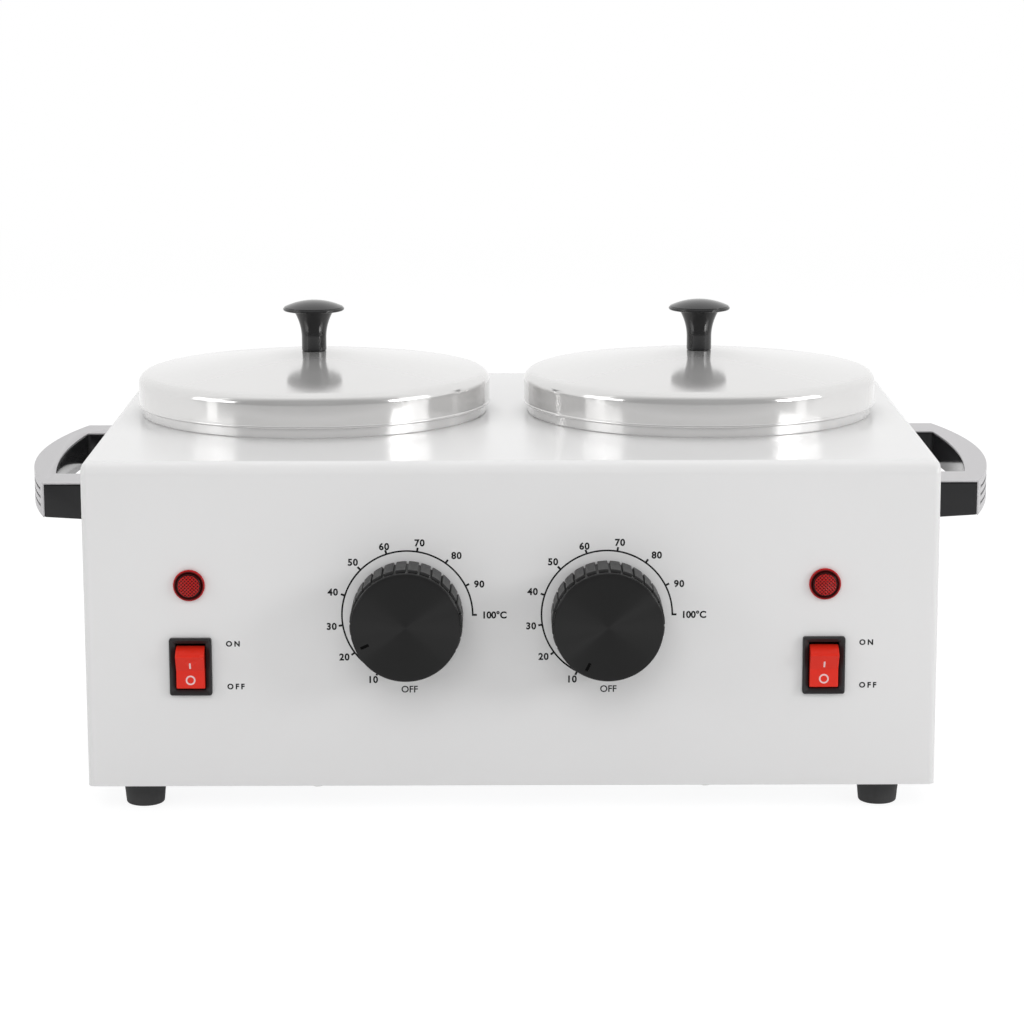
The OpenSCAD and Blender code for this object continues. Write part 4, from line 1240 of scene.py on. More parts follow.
@dataclass
class PotAndLid:
    """One lift-out pot with its domed lid and knob."""

    side: Side
    top: float = 129.5
    pot_radius: float = 61.5
    pot_wall: float = 1.2
    pot_drop: float = 58.0
    corner: float = 10.0
    rim_radius: float = 66.9
    rim_height: float = 15.1
    rim_edge: float = 3.0
    lip_run: float = 10.0
    ease: float = 0.3
    lid_radius: float = 68.3
    lid_wall: float = 0.9
    dome: float = 276.0
    cone_slope: float = 0.1565
    cone_round: float = 19.8
    dome_steps: int = 30
    shoulder: float = 4.0
    overlap: float = 11.4
    bead: float = 0.6
    bead_rise: float = 2.0
    seat: float = 0.3
    knob_cap: float = 23.8
    knob_height: float = 19.7
    stem: float = 9.6
    flare: float = 20.0
    straight: float = 5.0
    cap_edge: float = 1.2
    cap_lip: float = 0.6
    crown: float = 2.8
    crown_share: float = 0.95

    @property
    def peak(self) -> float:
        """The height of the middle of the lid's outer face.

        Returns:
            The height above the table, with the lid on its pot.
        """
        inner = self.dome - self.lid_wall
        seat_radius = self.rim_radius - self.rim_edge
        centre = self.top + self.rim_height + self.seat - math.sqrt(inner**2 - seat_radius**2)
        return centre + self.dome

    def put(self, piece: bpy.types.Object, rise: float = 0.0) -> None:
        """Puts a turned piece on the pot's axis.

        Args:
            piece: the piece.
            rise: how high its own origin goes.
        """
        at = middle_of("pot", self.side)
        place(piece, (at.x, at.y, rise))

    def pot(self) -> None:
        """Makes the pot."""
        inner = self.pot_radius - self.pot_wall
        floor = self.top - self.pot_drop
        brim = self.top + self.rim_height
        wall = self.pot_wall
        edge = self.rim_edge
        row = [(0, floor + wall)]
        row += arc((self.pot_radius - self.corner, floor + self.corner), self.corner - wall, -90, 0, 8)
        row += [(inner, brim - self.lip_run)]
        row += arc((inner + wall, brim - wall), wall, 180, 90, 4)
        row += arc((self.rim_radius - edge, brim - edge), edge, 90, 0, 6)
        row += [(self.rim_radius, self.top + self.ease), (self.rim_radius - self.ease, self.top)]
        row += [(self.rim_radius - wall, self.top)]
        row += arc((self.rim_radius - edge, brim - edge), edge - wall, 0, 90, 5)
        row += [(self.pot_radius, brim - wall)]
        row += arc((self.pot_radius - self.corner, floor + self.corner), self.corner, 0, -90, 8)
        row += [(0, floor)]
        name = "pot_" + self.side.value
        piece = turned(name + "_spun", row, SPUN_POT, 128)
        self.put(piece)
        hand_in(piece, name, [name])

    def dome_height(self, reach: float) -> float:
        """The height of the lid's outer face, a flat cone with a well rounded tip.

        Args:
            reach: how far from the axis.

        Returns:
            The height above the table.
        """
        fall = self.cone_slope * (math.hypot(reach, self.cone_round) - self.cone_round)
        return self.peak - fall

    def dome_row(self, radius: float, sink: float, shoulder: float) -> list[Point2]:
        """The dome and the shoulder of one face of the lid.

        Args:
            radius: the radius of the skirt's face.
            sink: how far below the outer face it lies.
            shoulder: the radius of the shoulder's face.

        Returns:
            Points from the axis to the top of the skirt.
        """
        steps = self.dome_steps
        x = radius - shoulder
        slope = math.atan(self.cone_slope * x / math.hypot(x, self.cone_round))
        touch = x + shoulder * math.sin(slope)
        z = self.dome_height(touch) - sink - shoulder * math.cos(slope)
        row = [(touch * i / steps, self.dome_height(touch * i / steps) - sink) for i in range(steps)]
        return row + arc((x, z), shoulder, 90 - math.degrees(slope), 0, 7)

    def lid(self) -> None:
        """Makes the lid."""
        low = self.top + self.rim_height - self.overlap
        inner = self.lid_radius - self.lid_wall
        row = self.dome_row(self.lid_radius, 0.0, self.shoulder)
        row += [(self.lid_radius, low + self.bead_rise)]
        row += arc((inner + self.bead, low + self.bead), self.bead, 60, -180, 12)
        row += self.dome_row(inner, self.lid_wall, self.shoulder - self.lid_wall)[::-1]
        piece = turned("lid_spun_" + self.side.value, row, SPUN_LID, 160)
        self.put(piece)
        name = "lid_" + self.side.value
        hand_in(piece, name, [name])

    def knob(self) -> None:
        """Makes the lid's knob."""
        stem = self.stem / 2
        cap = self.knob_cap / 2
        edge_top = self.knob_height - self.crown
        edge_low = edge_top - self.cap_edge
        under = edge_low - self.cap_lip
        reach = math.degrees(math.asin((under - self.straight) / self.flare))
        crown_radius = (cap**2 + self.crown**2) / (2 * self.crown)
        crown_angle = math.degrees(math.asin(cap / crown_radius))
        row = [(0, 0), (stem - self.ease, 0), (stem, self.ease)]
        row += arc((stem + self.flare, self.straight), self.flare, 180, 180 - reach, 12)
        row += [(cap - 2 * self.cap_lip, edge_low - self.cap_lip / 4)]
        row += arc((cap - self.cap_lip, (edge_low + edge_top) / 2), self.cap_lip, -70, 75, 6)
        row += arc((0, self.knob_height - crown_radius), crown_radius,
                   90 - crown_angle * self.crown_share, 90, 14)
        piece = turned("knob_turned_" + self.side.value, row, KNOB_BLACK, 96)
        self.put(piece, self.peak)
        hand_in(piece, "lid_" + self.side.value, ["lid_knob_" + self.side.value])

    def build(self) -> None:
        """Makes pot, lid and knob."""
        self.pot()
        self.lid()
        self.knob()


@dataclass
class Dial:
    """A ribbed thermostat knob with its turned face."""

    side: Side
    front_y: float = PANEL_Y
    gap: float = 0.9
    rib_radius: float = 20.0
    root_radius: float = 19.0
    ribs: int = 28
    rib_gap: float = 0.75
    rib_length: float = 15.0
    recess: float = 2.8
    recess_radius: float = 15.6
    web: float = 0.9
    hollow: float = 17.2
    hub: float = 5.5
    front_wall: float = 3.0
    face_radius: float = 19.4
    face_thick: float = 2.6
    pointer: tuple[float, float, float] = (3.1, 1.05, 0.3)
    fill_drop: float = 0.04
    pointer_edge: float = 2.0
    rest_angles: tuple[float, float] = (204.6, 243.0)
    ease: float = 0.2
    hub_ease: float = 0.3
    root_sink: float = 0.4
    root_ease: float = 0.2
    rib_edge: float = 0.28
    web_sink: float = 0.5
    web_inset: float = 0.4
    web_edge: float = 0.15
    face_edge: tuple[Point2, ...] = ((0.0, 0.35), (0.05, 0.25), (0.3, 0.02), (0.42, 0.0))
    face_rings: tuple[float, ...] = (17.5, 15.0, 12.0, 8.0, 4.0, 0.0)

    @property
    def angle(self) -> float:
        """Where the pointer stands, in degrees anticlockwise from three o'clock."""
        left, right = self.rest_angles
        return left if self.side is Side.LEFT else right

    def put(self, piece: bpy.types.Object) -> None:
        """Puts a piece that is drawn round Z on the dial's axis.

        Args:
            piece: the piece.
        """
        turn = OUT_OF_PANEL @ Matrix.Rotation(math.radians(self.angle), 4, "Z")
        at = middle_of("dial_face", self.side)
        place(piece, (at.x, self.front_y, at.z), turn)

    def core(self) -> bpy.types.Object:
        """Makes the knob's round core.

        Returns:
            The core.
        """
        low = self.gap
        shelf = self.gap + self.rib_length
        inside = shelf - self.front_wall
        row = [(0, low), (self.hub - self.hub_ease, low), (self.hub, low + self.hub_ease)]
        row += [(self.hub, inside), (self.hollow, inside), (self.hollow, low)]
        row += [(self.root_radius - self.ease, low), (self.root_radius, low + self.ease)]
        row += [(self.root_radius, shelf)]
        row += [(self.recess_radius, shelf), (self.recess_radius, shelf + self.recess)]
        row += [(0, shelf + self.recess)]
        return turned("core", row, DIAL_PLASTIC, 112)

    def teeth(self) -> bpy.types.Object:
        """Makes the ring of ribs.

        Returns:
            The ribs.
        """
        pitch = math.tau / self.ribs
        half = (self.rib_gap / 2) / self.rib_radius
        start, end = math.degrees(half), math.degrees(pitch - half)
        outline = arc((0, 0), self.rib_radius, start, end, 4)
        outline += arc((0, 0), self.root_radius - self.root_sink, end - self.root_ease,
                       start + self.root_ease, 2)
        tooth = prism("teeth", outline, self.gap, self.gap + self.rib_length)
        soften(tooth, self.rib_edge, 3)
        RING.apply(tooth, DIAL_PLASTIC, Count=self.ribs, Step=pitch)
        return tooth

    def webs(self) -> bpy.types.Object:
        """Makes the ring of small webs between the ribs and the face.

        Returns:
            The webs.
        """
        shelf = self.gap + self.rib_length
        outline = bar_outline(self.recess_radius - self.web_sink, self.face_radius - self.web_inset,
                              self.web)
        web = prism("webs", outline, shelf - self.web_sink, shelf + self.recess)
        soften(web, self.web_edge, 2)
        RING.apply(web, DIAL_PLASTIC, Count=self.ribs, Step=math.tau / self.ribs)
        return web

    def knob(self) -> None:
        """Makes the ribbed knob."""
        parts = [self.core(), self.teeth(), self.webs()]
        piece = join("dial_ribbed_" + self.side.value, parts)
        smooth(piece, 35)
        wear(piece, DIAL_PLASTIC)
        self.put(piece)
        name = "dial_" + self.side.value
        hand_in(piece, name, ["dial_knob_" + self.side.value])

    def face(self) -> None:
        """Makes the turned face with its pointer groove and the near-black fill in it."""
        low = self.gap + self.rib_length + self.recess
        high = low + self.face_thick
        row = [(0, low), (self.face_radius - self.ease, low), (self.face_radius, low + self.ease)]
        row += [(self.face_radius - inward, high - down) for inward, down in self.face_edge]
        row += [(radius, high) for radius in self.face_rings]
        piece = turned("dial_face_turned_" + self.side.value, row, DIAL_CAP, 128)
        length, width, depth = self.pointer
        end = self.face_radius - self.pointer_edge
        slot = bar_outline(end - length, end, width)
        combine(piece, prism("slot", slot, high - depth, high + CLEAR), Cut.AWAY)
        smooth(piece, weighted=False)
        wear(piece, DIAL_CAP)
        self.put(piece)
        name = "dial_" + self.side.value
        hand_in(piece, name, ["dial_face_" + self.side.value])
        # A near-black fill sits in the groove, its top a little below the face, and darkens the pointer.
        pointer_fill = prism("dial_pointer_" + self.side.value, slot, high - depth, high - self.fill_drop)
        wear(pointer_fill, POINTER_BLACK)
        self.put(pointer_fill)
        hand_in(pointer_fill, name)

    def build(self) -> None:
        """Makes knob and face."""
        self.knob()
        self.face()


@dataclass
class Switch:
    """A rocker switch in its black frame."""

    side: Side
    front_y: float = PANEL_Y
    sheet: float = SHEET
    frame: tuple[float, float] = (15.2, 21.0)
    frame_thick: float = 2.0
    frame_corner: float = 0.9
    frame_edge: tuple[Point3, ...] = ((0.0, 0.0, 0.45), (0.25, 0.1, 0.12), (0.8, 0.2, 0.0),
                                      (1.3, 0.3, 0.05))
    slope_width: float = 0.25
    slope_corner: float = 0.45
    slope_drop: float = 0.9
    window: tuple[float, float] = (10.9, 17.0)
    window_corner: float = 0.3
    window_drop: float = 1.2
    case: tuple[float, float] = (13.0, 19.0)
    case_corner: float = 0.4
    case_depth: float = 15.0
    cavity: float = 9.0
    width: float = 10.3
    radius: float = 7.9
    travel: float = 28.0
    pivot: float = 0.8
    flush: float = 0.3
    skirt: float = 1.6
    keel: tuple[float, float, float] = (8.0, 3.0, 5.5)
    sag: float = 0.4
    rocker_edge: float = 0.35
    bar: tuple[float, float] = (0.62, 2.7)
    bar_corner: float = 0.2
    bar_reach: float = 2.3
    ring: tuple[float, float] = (1.75, 1.2)
    ring_steps: int = 48
    ring_reach: float = 3.5
    mark_proud: float = 0.03

    @property
    def middle(self) -> float:
        """How far the fold between the rocker's two flats stands off its pivot."""
        tilt = math.radians(self.travel / 2)
        return -(self.pivot + self.frame_thick + self.flush) / math.cos(tilt)

    def bezel(self) -> None:
        """Makes the frame with its sloping inner border."""
        width, height = self.frame
        corner = self.frame_corner
        top = self.frame_thick
        case = round_rect(*self.case, self.case_corner)
        window = round_rect(*self.window, self.window_corner)
        slope = round_rect(*[side + 2 * self.slope_width for side in self.window], self.slope_corner)
        rings = [(case, -self.sheet - self.case_depth), (case, 0.0)]
        rings += [(round_rect(width, height, corner), 0.0)]
        rings += [(round_rect(width - less, height - less, corner - sharper), top - down)
                  for less, sharper, down in self.frame_edge]
        rings += [(slope, top - self.slope_drop), (window, top - self.window_drop)]
        rings += [(window, -self.cavity)]
        piece = stack("switch_bezel_" + self.side.value, rings)
        smooth(piece, 20)
        wear(piece, SWITCH_BLACK)
        at = middle_of("switch_frame", self.side)
        place(piece, (at.x, self.front_y, at.z), OUT_OF_PANEL)
        hand_in(piece, "housing", ["switch_frame_" + self.side.value])

    def section(self) -> list[Point2]:
        """The rocker's side view about its pivot, as depth and height.

        Returns:
            Its points in order.
        """
        slope = math.tan(math.radians(self.travel / 2))
        squared = 1 + slope**2
        linear = -2 * self.middle * slope
        constant = self.middle**2 - self.radius**2
        high = (-linear + math.sqrt(linear**2 - 4 * squared * constant)) / (2 * squared)
        deep = self.middle - high * slope
        start = math.degrees(math.atan2(high, deep))
        end = math.degrees(math.asin(math.sqrt(self.radius**2 - self.skirt**2) / self.radius))
        half = arc((0, 0), self.radius, start, end, 8)
        wide, tip, length = self.keel
        upper = [(self.middle, 0)] + half + [(self.skirt, wide / 2), (length, tip / 2)]
        return upper + [(p, -q) for p, q in upper[:0:-1]]

    def rocker(self) -> None:
        """Makes the rocker, at rest with its lower end pressed in."""
        half = self.width / 2
        piece = prism("rocker_" + self.side.value + "_cap", self.section(), -half, half)
        soften(piece, self.rocker_edge, 3, 25)
        smooth(piece, 30)
        wear(piece, ROCKER_RED)
        self.tip(piece, UPRIGHT_SIDE_VIEW)
        hand_in(piece, "rocker_" + self.side.value, ["rocker_" + self.side.value])

    def tip(self, piece: bpy.types.Object, turn: Matrix) -> None:
        """Puts a piece of the rocker on its pivot in its resting tilt.

        Args:
            piece: the piece.
            turn: how it is turned into the pivot's own space.
        """
        tilt = Matrix.Rotation(math.radians(self.travel / 2), 4, "X")
        at = middle_of("switch_frame", self.side)
        place(piece, (at.x, self.front_y + self.pivot, at.z - self.sag), tilt @ turn)

    def marks(self) -> None:
        """Makes the bar and the ring printed on the rocker."""
        tilt = self.travel / 2
        bar = prism("bar", round_rect(*self.bar, self.bar_corner), -self.mark_proud, self.mark_proud)
        outer, inner = self.ring
        ring = prism("ring", circle(outer, self.ring_steps), -self.mark_proud, self.mark_proud)
        combine(ring, prism("hole", circle(inner, self.ring_steps), -CLEAR, CLEAR), Cut.AWAY)
        placed = []
        for piece, reach in ((bar, self.bar_reach), (ring, -self.ring_reach)):
            lean = Matrix.Rotation(math.radians(math.copysign(tilt, reach)), 4, "X")
            offset = Matrix.Translation(Vector((0, reach, 0)) * MM)
            onto = Matrix.Translation(Vector((0, self.middle, 0)) * MM)
            self.tip(piece, onto @ lean @ OUT_OF_PANEL @ offset)
            placed.append(piece)
        piece = join("rocker_marks_" + self.side.value, placed)
        wear(piece, MARK_WHITE)
        hand_in(piece, "rocker_" + self.side.value)

    def build(self) -> None:
        """Makes frame, rocker and marks."""
        self.bezel()
        self.rocker()
        self.marks()


@dataclass
class Lamp:
    """A round pilot lamp with a waffled lens."""

    side: Side
    front_y: float = PANEL_Y
    sheet: float = SHEET
    rim: float = 5.7
    rim_thick: float = 1.6
    rim_inset: float = 0.1
    rim_round: float = 0.55
    rim_slope: tuple[float, float, float] = (1.0, 0.2, 0.5)
    ease: float = 0.3
    barrel: float = 4.9
    length: float = 20.0
    bore: float = 4.45
    lens: float = 4.4
    lens_seat: float = 3.0
    lens_rise: float = 1.4
    lens_edge: float = 0.4
    lens_dome: float = 18.0
    lens_rings: int = 44
    waffle: tuple[float, float, float] = (1.27, 0.3, 3.95)
    waffle_step: float = 0.05
    waffle_share: float = 0.999

    def put(self, piece: bpy.types.Object) -> None:
        """Puts a turned piece on the lamp's axis."""
        at = middle_of("lamp_lens", self.side)
        place(piece, (at.x, self.front_y, at.z), OUT_OF_PANEL)

    def body(self) -> None:
        """Makes the lamp's rim and barrel."""
        top = self.rim_thick
        back = -self.sheet - self.length
        inward, start, end = self.rim_slope
        row = [(0, back), (self.barrel - self.ease, back), (self.barrel, back + self.ease)]
        row += [(self.barrel, 0), (self.rim - self.rim_inset, 0)]
        row += arc((self.rim - self.rim_round, top - self.rim_round), self.rim_round, 0, 100, 6)
        row += [(self.rim - inward, top - start), (self.bore, top - end)]
        row += [(self.bore, top - self.lens_seat), (0, top - self.lens_seat)]
        piece = turned("lamp_rim_" + self.side.value, row, LAMP_RED, 72)
        self.put(piece)
        hand_in(piece, "housing", ["lamp_body_" + self.side.value])

    def glass(self) -> None:
        """Makes the lens with its waffle of small pyramids."""
        pitch, relief, reach = self.waffle
        low = self.rim_thick - self.lens_seat
        crown = self.rim_thick + self.lens_rise - relief
        dome = self.lens_dome
        edge = self.lens_edge
        row = [(0, low), (self.lens, low), (self.lens, self.rim_thick - edge)]
        row += arc((self.lens - edge, self.rim_thick), edge, 0, 90, 3)
        row += [(reach + self.waffle_step, crown - (dome - math.sqrt(dome**2 - reach**2)))]
        for i in range(self.lens_rings + 1):
            radius = reach * (1 - i / self.lens_rings)
            row.append((radius, crown - (dome - math.sqrt(dome**2 - radius**2))))
        piece = turned("lamp_glass_" + self.side.value, row, LENS_RED, 160, Pitch=pitch * MM,
                       Relief=relief * MM, Relief_radius=reach * MM * self.waffle_share)
        self.put(piece)
        hand_in(piece, "housing", ["lamp_lens_" + self.side.value])

    def build(self) -> None:
        """Makes body and lens."""
        self.body()
        self.glass()


@dataclass
class Handle:
    """A bow handle: a black core under a bright cover with three grooves."""

    side: Side
    wall_x: float = 153.0
    y: float = 6.15
    z: float = 100.2
    length: float = 132.0
    height: float = 14.0
    reach: float = 30.5
    end_reach: float = 20.0
    grip: float = 9.4
    gap_end: float = 17.8
    arm: float = 20.0
    sheet: float = 0.45
    rise: float = 0.06
    groove_pitch: float = 3.1
    groove: float = 0.95
    groove_stop: float = 5.6
    groove_end: float = 0.65
    grooves: int = 3
    corner: float = 1.4
    core_edge: float = 0.6
    cover_edge: float = 0.18
    cut_in: float = 0.1
    foot_band: float = 0.1
    bow_steps: int = 48
    inner_steps: int = 40
    corner_steps: int = 6
    end_steps: int = 24

    def bow(self, middle: float, end: float, length: float) -> tuple[float, float]:
        """Finds the circle through the middle and the ends of a bow.

        Args:
            middle: its reach at the middle.
            end: its reach at the ends.
            length: its length.

        Returns:
            The circle's radius, and how far out its centre lies.
        """
        rise = middle - end
        radius = ((length / 2) ** 2 + rise**2) / (2 * rise)
        return radius, middle - radius

    def outline(self, inset: float) -> list[Point2]:
        """The handle seen from above, from one arm round the bow to the other.

        Args:
            inset: how far the outer face is drawn in.

        Returns:
            Its points in order.
        """
        radius, centre = self.bow(self.reach, self.end_reach, self.length)
        radius -= inset
        half = self.length / 2
        angle = math.degrees(math.asin(half / radius))
        outer = arc((centre, 0), radius, -angle, angle, self.bow_steps)
        gap = self.length - 2 * self.arm
        hollow = self.reach - self.grip
        gap_radius, gap_centre = self.bow(hollow, self.gap_end, gap)
        inner_half = gap / 2 - self.corner
        gap_angle = math.degrees(math.asin(inner_half / gap_radius))
        inner = arc((gap_centre, 0), gap_radius, gap_angle, -gap_angle, self.inner_steps)
        corner_x = gap_centre + gap_radius * math.cos(math.radians(gap_angle)) - self.corner
        upper = arc((corner_x, inner_half), self.corner, 90, 0, self.corner_steps)[:-1]
        lower = arc((corner_x, -inner_half), self.corner, 0, -90, self.corner_steps)[1:]
        points = [(0, -half)] + outer + [(0, half), (0, gap / 2)]
        return points + upper + inner + lower + [(0, -gap / 2)]

    def put(self, piece: bpy.types.Object) -> None:
        """Puts a piece that is drawn for the right side on its own side.

        Args:
            piece: the piece.
        """
        sign = self.side.sign
        place(piece, (sign * self.wall_x, self.y, self.z), Matrix.Diagonal((sign, 1, 1, 1)))

    def taper(self, piece: bpy.types.Object) -> None:
        """Lets the underside rise a little with its distance from the wall.

        Args:
            piece: the piece.
        """
        for vertex in piece.data.vertices:
            if vertex.co.z < self.foot_band * MM:
                vertex.co.z += self.rise * vertex.co.x
        piece.data.update()

    def core(self) -> None:
        """Makes the black core."""
        piece = prism("handle_black_" + self.side.value, self.outline(self.sheet), 0,
                      self.height - self.sheet)
        self.taper(piece)
        soften(piece, self.core_edge, 3)
        smooth(piece, 35)
        wear(piece, HANDLE_BLACK)
        self.put(piece)
        hand_in(piece, "housing", ["handle_core_" + self.side.value])

    def shell(self) -> None:
        """Makes the bright cover with its grooves."""
        radius, centre = self.bow(self.reach, self.end_reach, self.length)
        half = self.length / 2
        top = self.height
        piece = prism("handle_bright_" + self.side.value, self.outline(0), top - self.sheet, top)
        angle = math.degrees(math.asin(half / radius))
        inner_angle = math.degrees(math.asin(half / (radius - self.sheet)))
        wall = arc((centre, 0), radius, -angle, angle, self.bow_steps)
        wall += arc((centre, 0), radius - self.sheet, inner_angle, -inner_angle, self.bow_steps)
        side_wall = prism("wall", wall, 0, top - self.sheet / 2)
        self.taper(side_wall)
        combine(piece, side_wall, Cut.ADD)
        soften(piece, self.cover_edge, 2)
        stop = math.degrees(math.asin((half - self.groove_stop) / radius))
        for i in range(self.grooves):
            level = top - (i + 1) * self.groove_pitch
            combine(piece, self.slit(radius, centre, stop, level), Cut.AWAY)
            for end in (-stop, stop):
                combine(piece, self.eye(radius, centre, end, level), Cut.AWAY)
        smooth(piece, 35)
        wear(piece, HANDLE_SILVER)
        self.put(piece)
        hand_in(piece, "housing", ["handle_cover_" + self.side.value])

    def slit(self, radius: float, centre: float, stop: float, level: float) -> bpy.types.Object:
        """Makes the cutter of one groove, which goes through the cover's wall.

        Args:
            radius: the radius of the bow.
            centre: how far out its centre lies.
            stop: the angle from the middle to either end of the groove.
            level: the height of the groove.

        Returns:
            The cutter.
        """
        row = arc((centre, 0), radius - self.sheet - self.cut_in, -stop, stop, self.inner_steps)
        row += arc((centre, 0), radius + CLEAR, stop, -stop, self.inner_steps)
        return prism("groove", row, level - self.groove / 2, level + self.groove / 2)

    def eye(self, radius: float, centre: float, angle: float, level: float) -> bpy.types.Object:
        """Makes the cutter of a groove's round end.

        Args:
            radius: the radius of the bow.
            centre: how far out its centre lies.
            angle: where the groove ends, from the middle of the bow.
            level: the height of the groove.

        Returns:
            The cutter.
        """
        ring = circle(self.groove_end, self.end_steps)
        cutter = prism("eye", ring, radius - self.sheet - self.cut_in, radius + CLEAR)
        turn = Matrix.Rotation(math.radians(angle), 4, "Z") @ Matrix.Rotation(math.radians(90), 4, "Y")
        place(cutter, (centre, 0, level), turn)
        return cutter

    def build(self) -> None:
        """Makes core and cover."""
        self.core()
        self.shell()


@dataclass
class Feet:
    """Four rubber feet, each a stepped cone with a recess for its screw."""

    x: float = 134.5
    rows: tuple[tuple[str, float], ...] = (("front", -86.35), ("rear", 98.65))
    height: float = 11.0
    top_radius: float = 8.0
    low_radius: float = 7.0
    edge: float = 1.0
    recess: tuple[float, float] = (4.3, 5.5)
    screw_hole: float = 2.15
    ease: float = 0.3
    bands: int = 4
    band_step: float = 0.01
    band_half: float = 0.25

    def build(self) -> None:
        """Makes the four feet."""
        for word, y in self.rows:
            for side in Side:
                self.foot(side, word, y)

    def foot(self, side: Side, word: str, y: float) -> None:
        """Makes one foot.

        Args:
            side: which side it stands on.
            word: whether it is a front or a rear foot.
            y: where it stands, front to rear.
        """
        wide, deep = self.recess
        row = [(self.screw_hole, deep), (wide, deep), (wide, self.ease), (wide + self.ease, 0)]
        row += arc((self.low_radius - self.edge, self.edge), self.edge, -90, 0, 5)
        for i in range(1, self.bands):
            share = i / self.bands
            radius = self.low_radius + (self.top_radius - self.low_radius) * share
            level = self.edge + (self.height - self.edge) * share
            row += [(radius - self.band_step, level - self.band_half), (radius, level + self.band_half)]
        row += [(self.top_radius, self.height - self.ease), (self.top_radius - self.ease, self.height)]
        row += [(self.screw_hole, self.height), (self.screw_hole, deep)]
        name = f"foot_{word}_{side.value}"
        piece = turned(name + "_rubber", row, RUBBER, 64)
        place(piece, (side.sign * self.x, y, 0))
        hand_in(piece, "housing", [name])


@dataclass
class CordGland:
    """The bare cord gland in the rear panel."""

    z: float = 35.0
    rear_y: float = 117.15
    bore: float = 3.6
    neck: float = 6.0
    flange: float = 9.5
    flange_thick: float = 3.0
    collar: float = 7.0
    reach: float = 9.0
    inside: float = 8.0
    edge: float = 0.8
    collar_foot: float = 0.4
    collar_inset: float = 1.2
    flutes: int = 12
    flute: tuple[float, float, float] = (1.0, 1.6, 0.35)
    flute_sink: float = 0.5
    flute_ends: tuple[float, float] = (0.3, 1.0)

    def build(self) -> None:
        """Makes the gland, with gripping flutes round its collar."""
        edge = self.edge
        row = [(self.bore, -self.inside), (self.neck, -self.inside), (self.neck, 0)]
        row += [(self.flange, 0)]
        row += arc((self.flange - edge, self.flange_thick - edge), edge, 0, 90, 5)
        row += [(self.collar - self.collar_foot, self.flange_thick)]
        row += arc((self.collar - self.collar_inset, self.reach - edge), edge, 0, 90, 5)
        row += arc((self.bore + edge, self.reach - edge), edge, 90, 180, 4)
        row += [(self.bore, -self.inside)]
        piece = turned("gland_body", row, NYLON, 72)
        into_flange, below_end = self.flute_ends
        flute = prism("flutes", round_rect(*self.flute, 3), self.flange_thick - into_flange,
                      self.reach - below_end)
        place(flute, (self.collar - self.flute_sink, 0, 0))
        RING.apply(flute, NYLON, Count=self.flutes, Step=math.tau / self.flutes)
        piece = join("gland_moulded", [piece, flute])
        smooth(piece, 35)
        wear(piece, NYLON)
        place(piece, (0, self.rear_y, self.z), TO_THE_REAR)
        hand_in(piece, "housing", ["cord_gland"])


@dataclass
class Wells:
    """The two deep-drawn wells under the top plate."""

    top: float = 128.3
    radius: float = 62.6
    wall: float = 1.2
    flange: float = 72.8
    floor: float = 71.2
    corner: float = 8.5

    def build(self) -> None:
        """Makes both wells."""
        for side in Side:
            self.well(side)

    def well(self, side: Side) -> None:
        """Makes one well.

        Args:
            side: which well.
        """
        outer = self.radius + self.wall
        centre = (self.radius - self.corner, self.floor + self.corner)
        row = [(0, self.floor)] + arc(centre, self.corner, -90, 0, 8)
        row += [(self.radius, self.top), (self.flange, self.top), (self.flange, self.top - self.wall)]
        row += [(outer, self.top - self.wall)]
        row += arc(centre, self.corner + self.wall, 0, -90, 8) + [(0, self.floor - self.wall)]
        name = "well_" + side.value
        piece = turned(name + "_drawn", row, WELL_STEEL, 128)
        at = middle_of("pot", side)
        place(piece, (at.x, at.y, 0))
        hand_in(piece, "housing", [name])


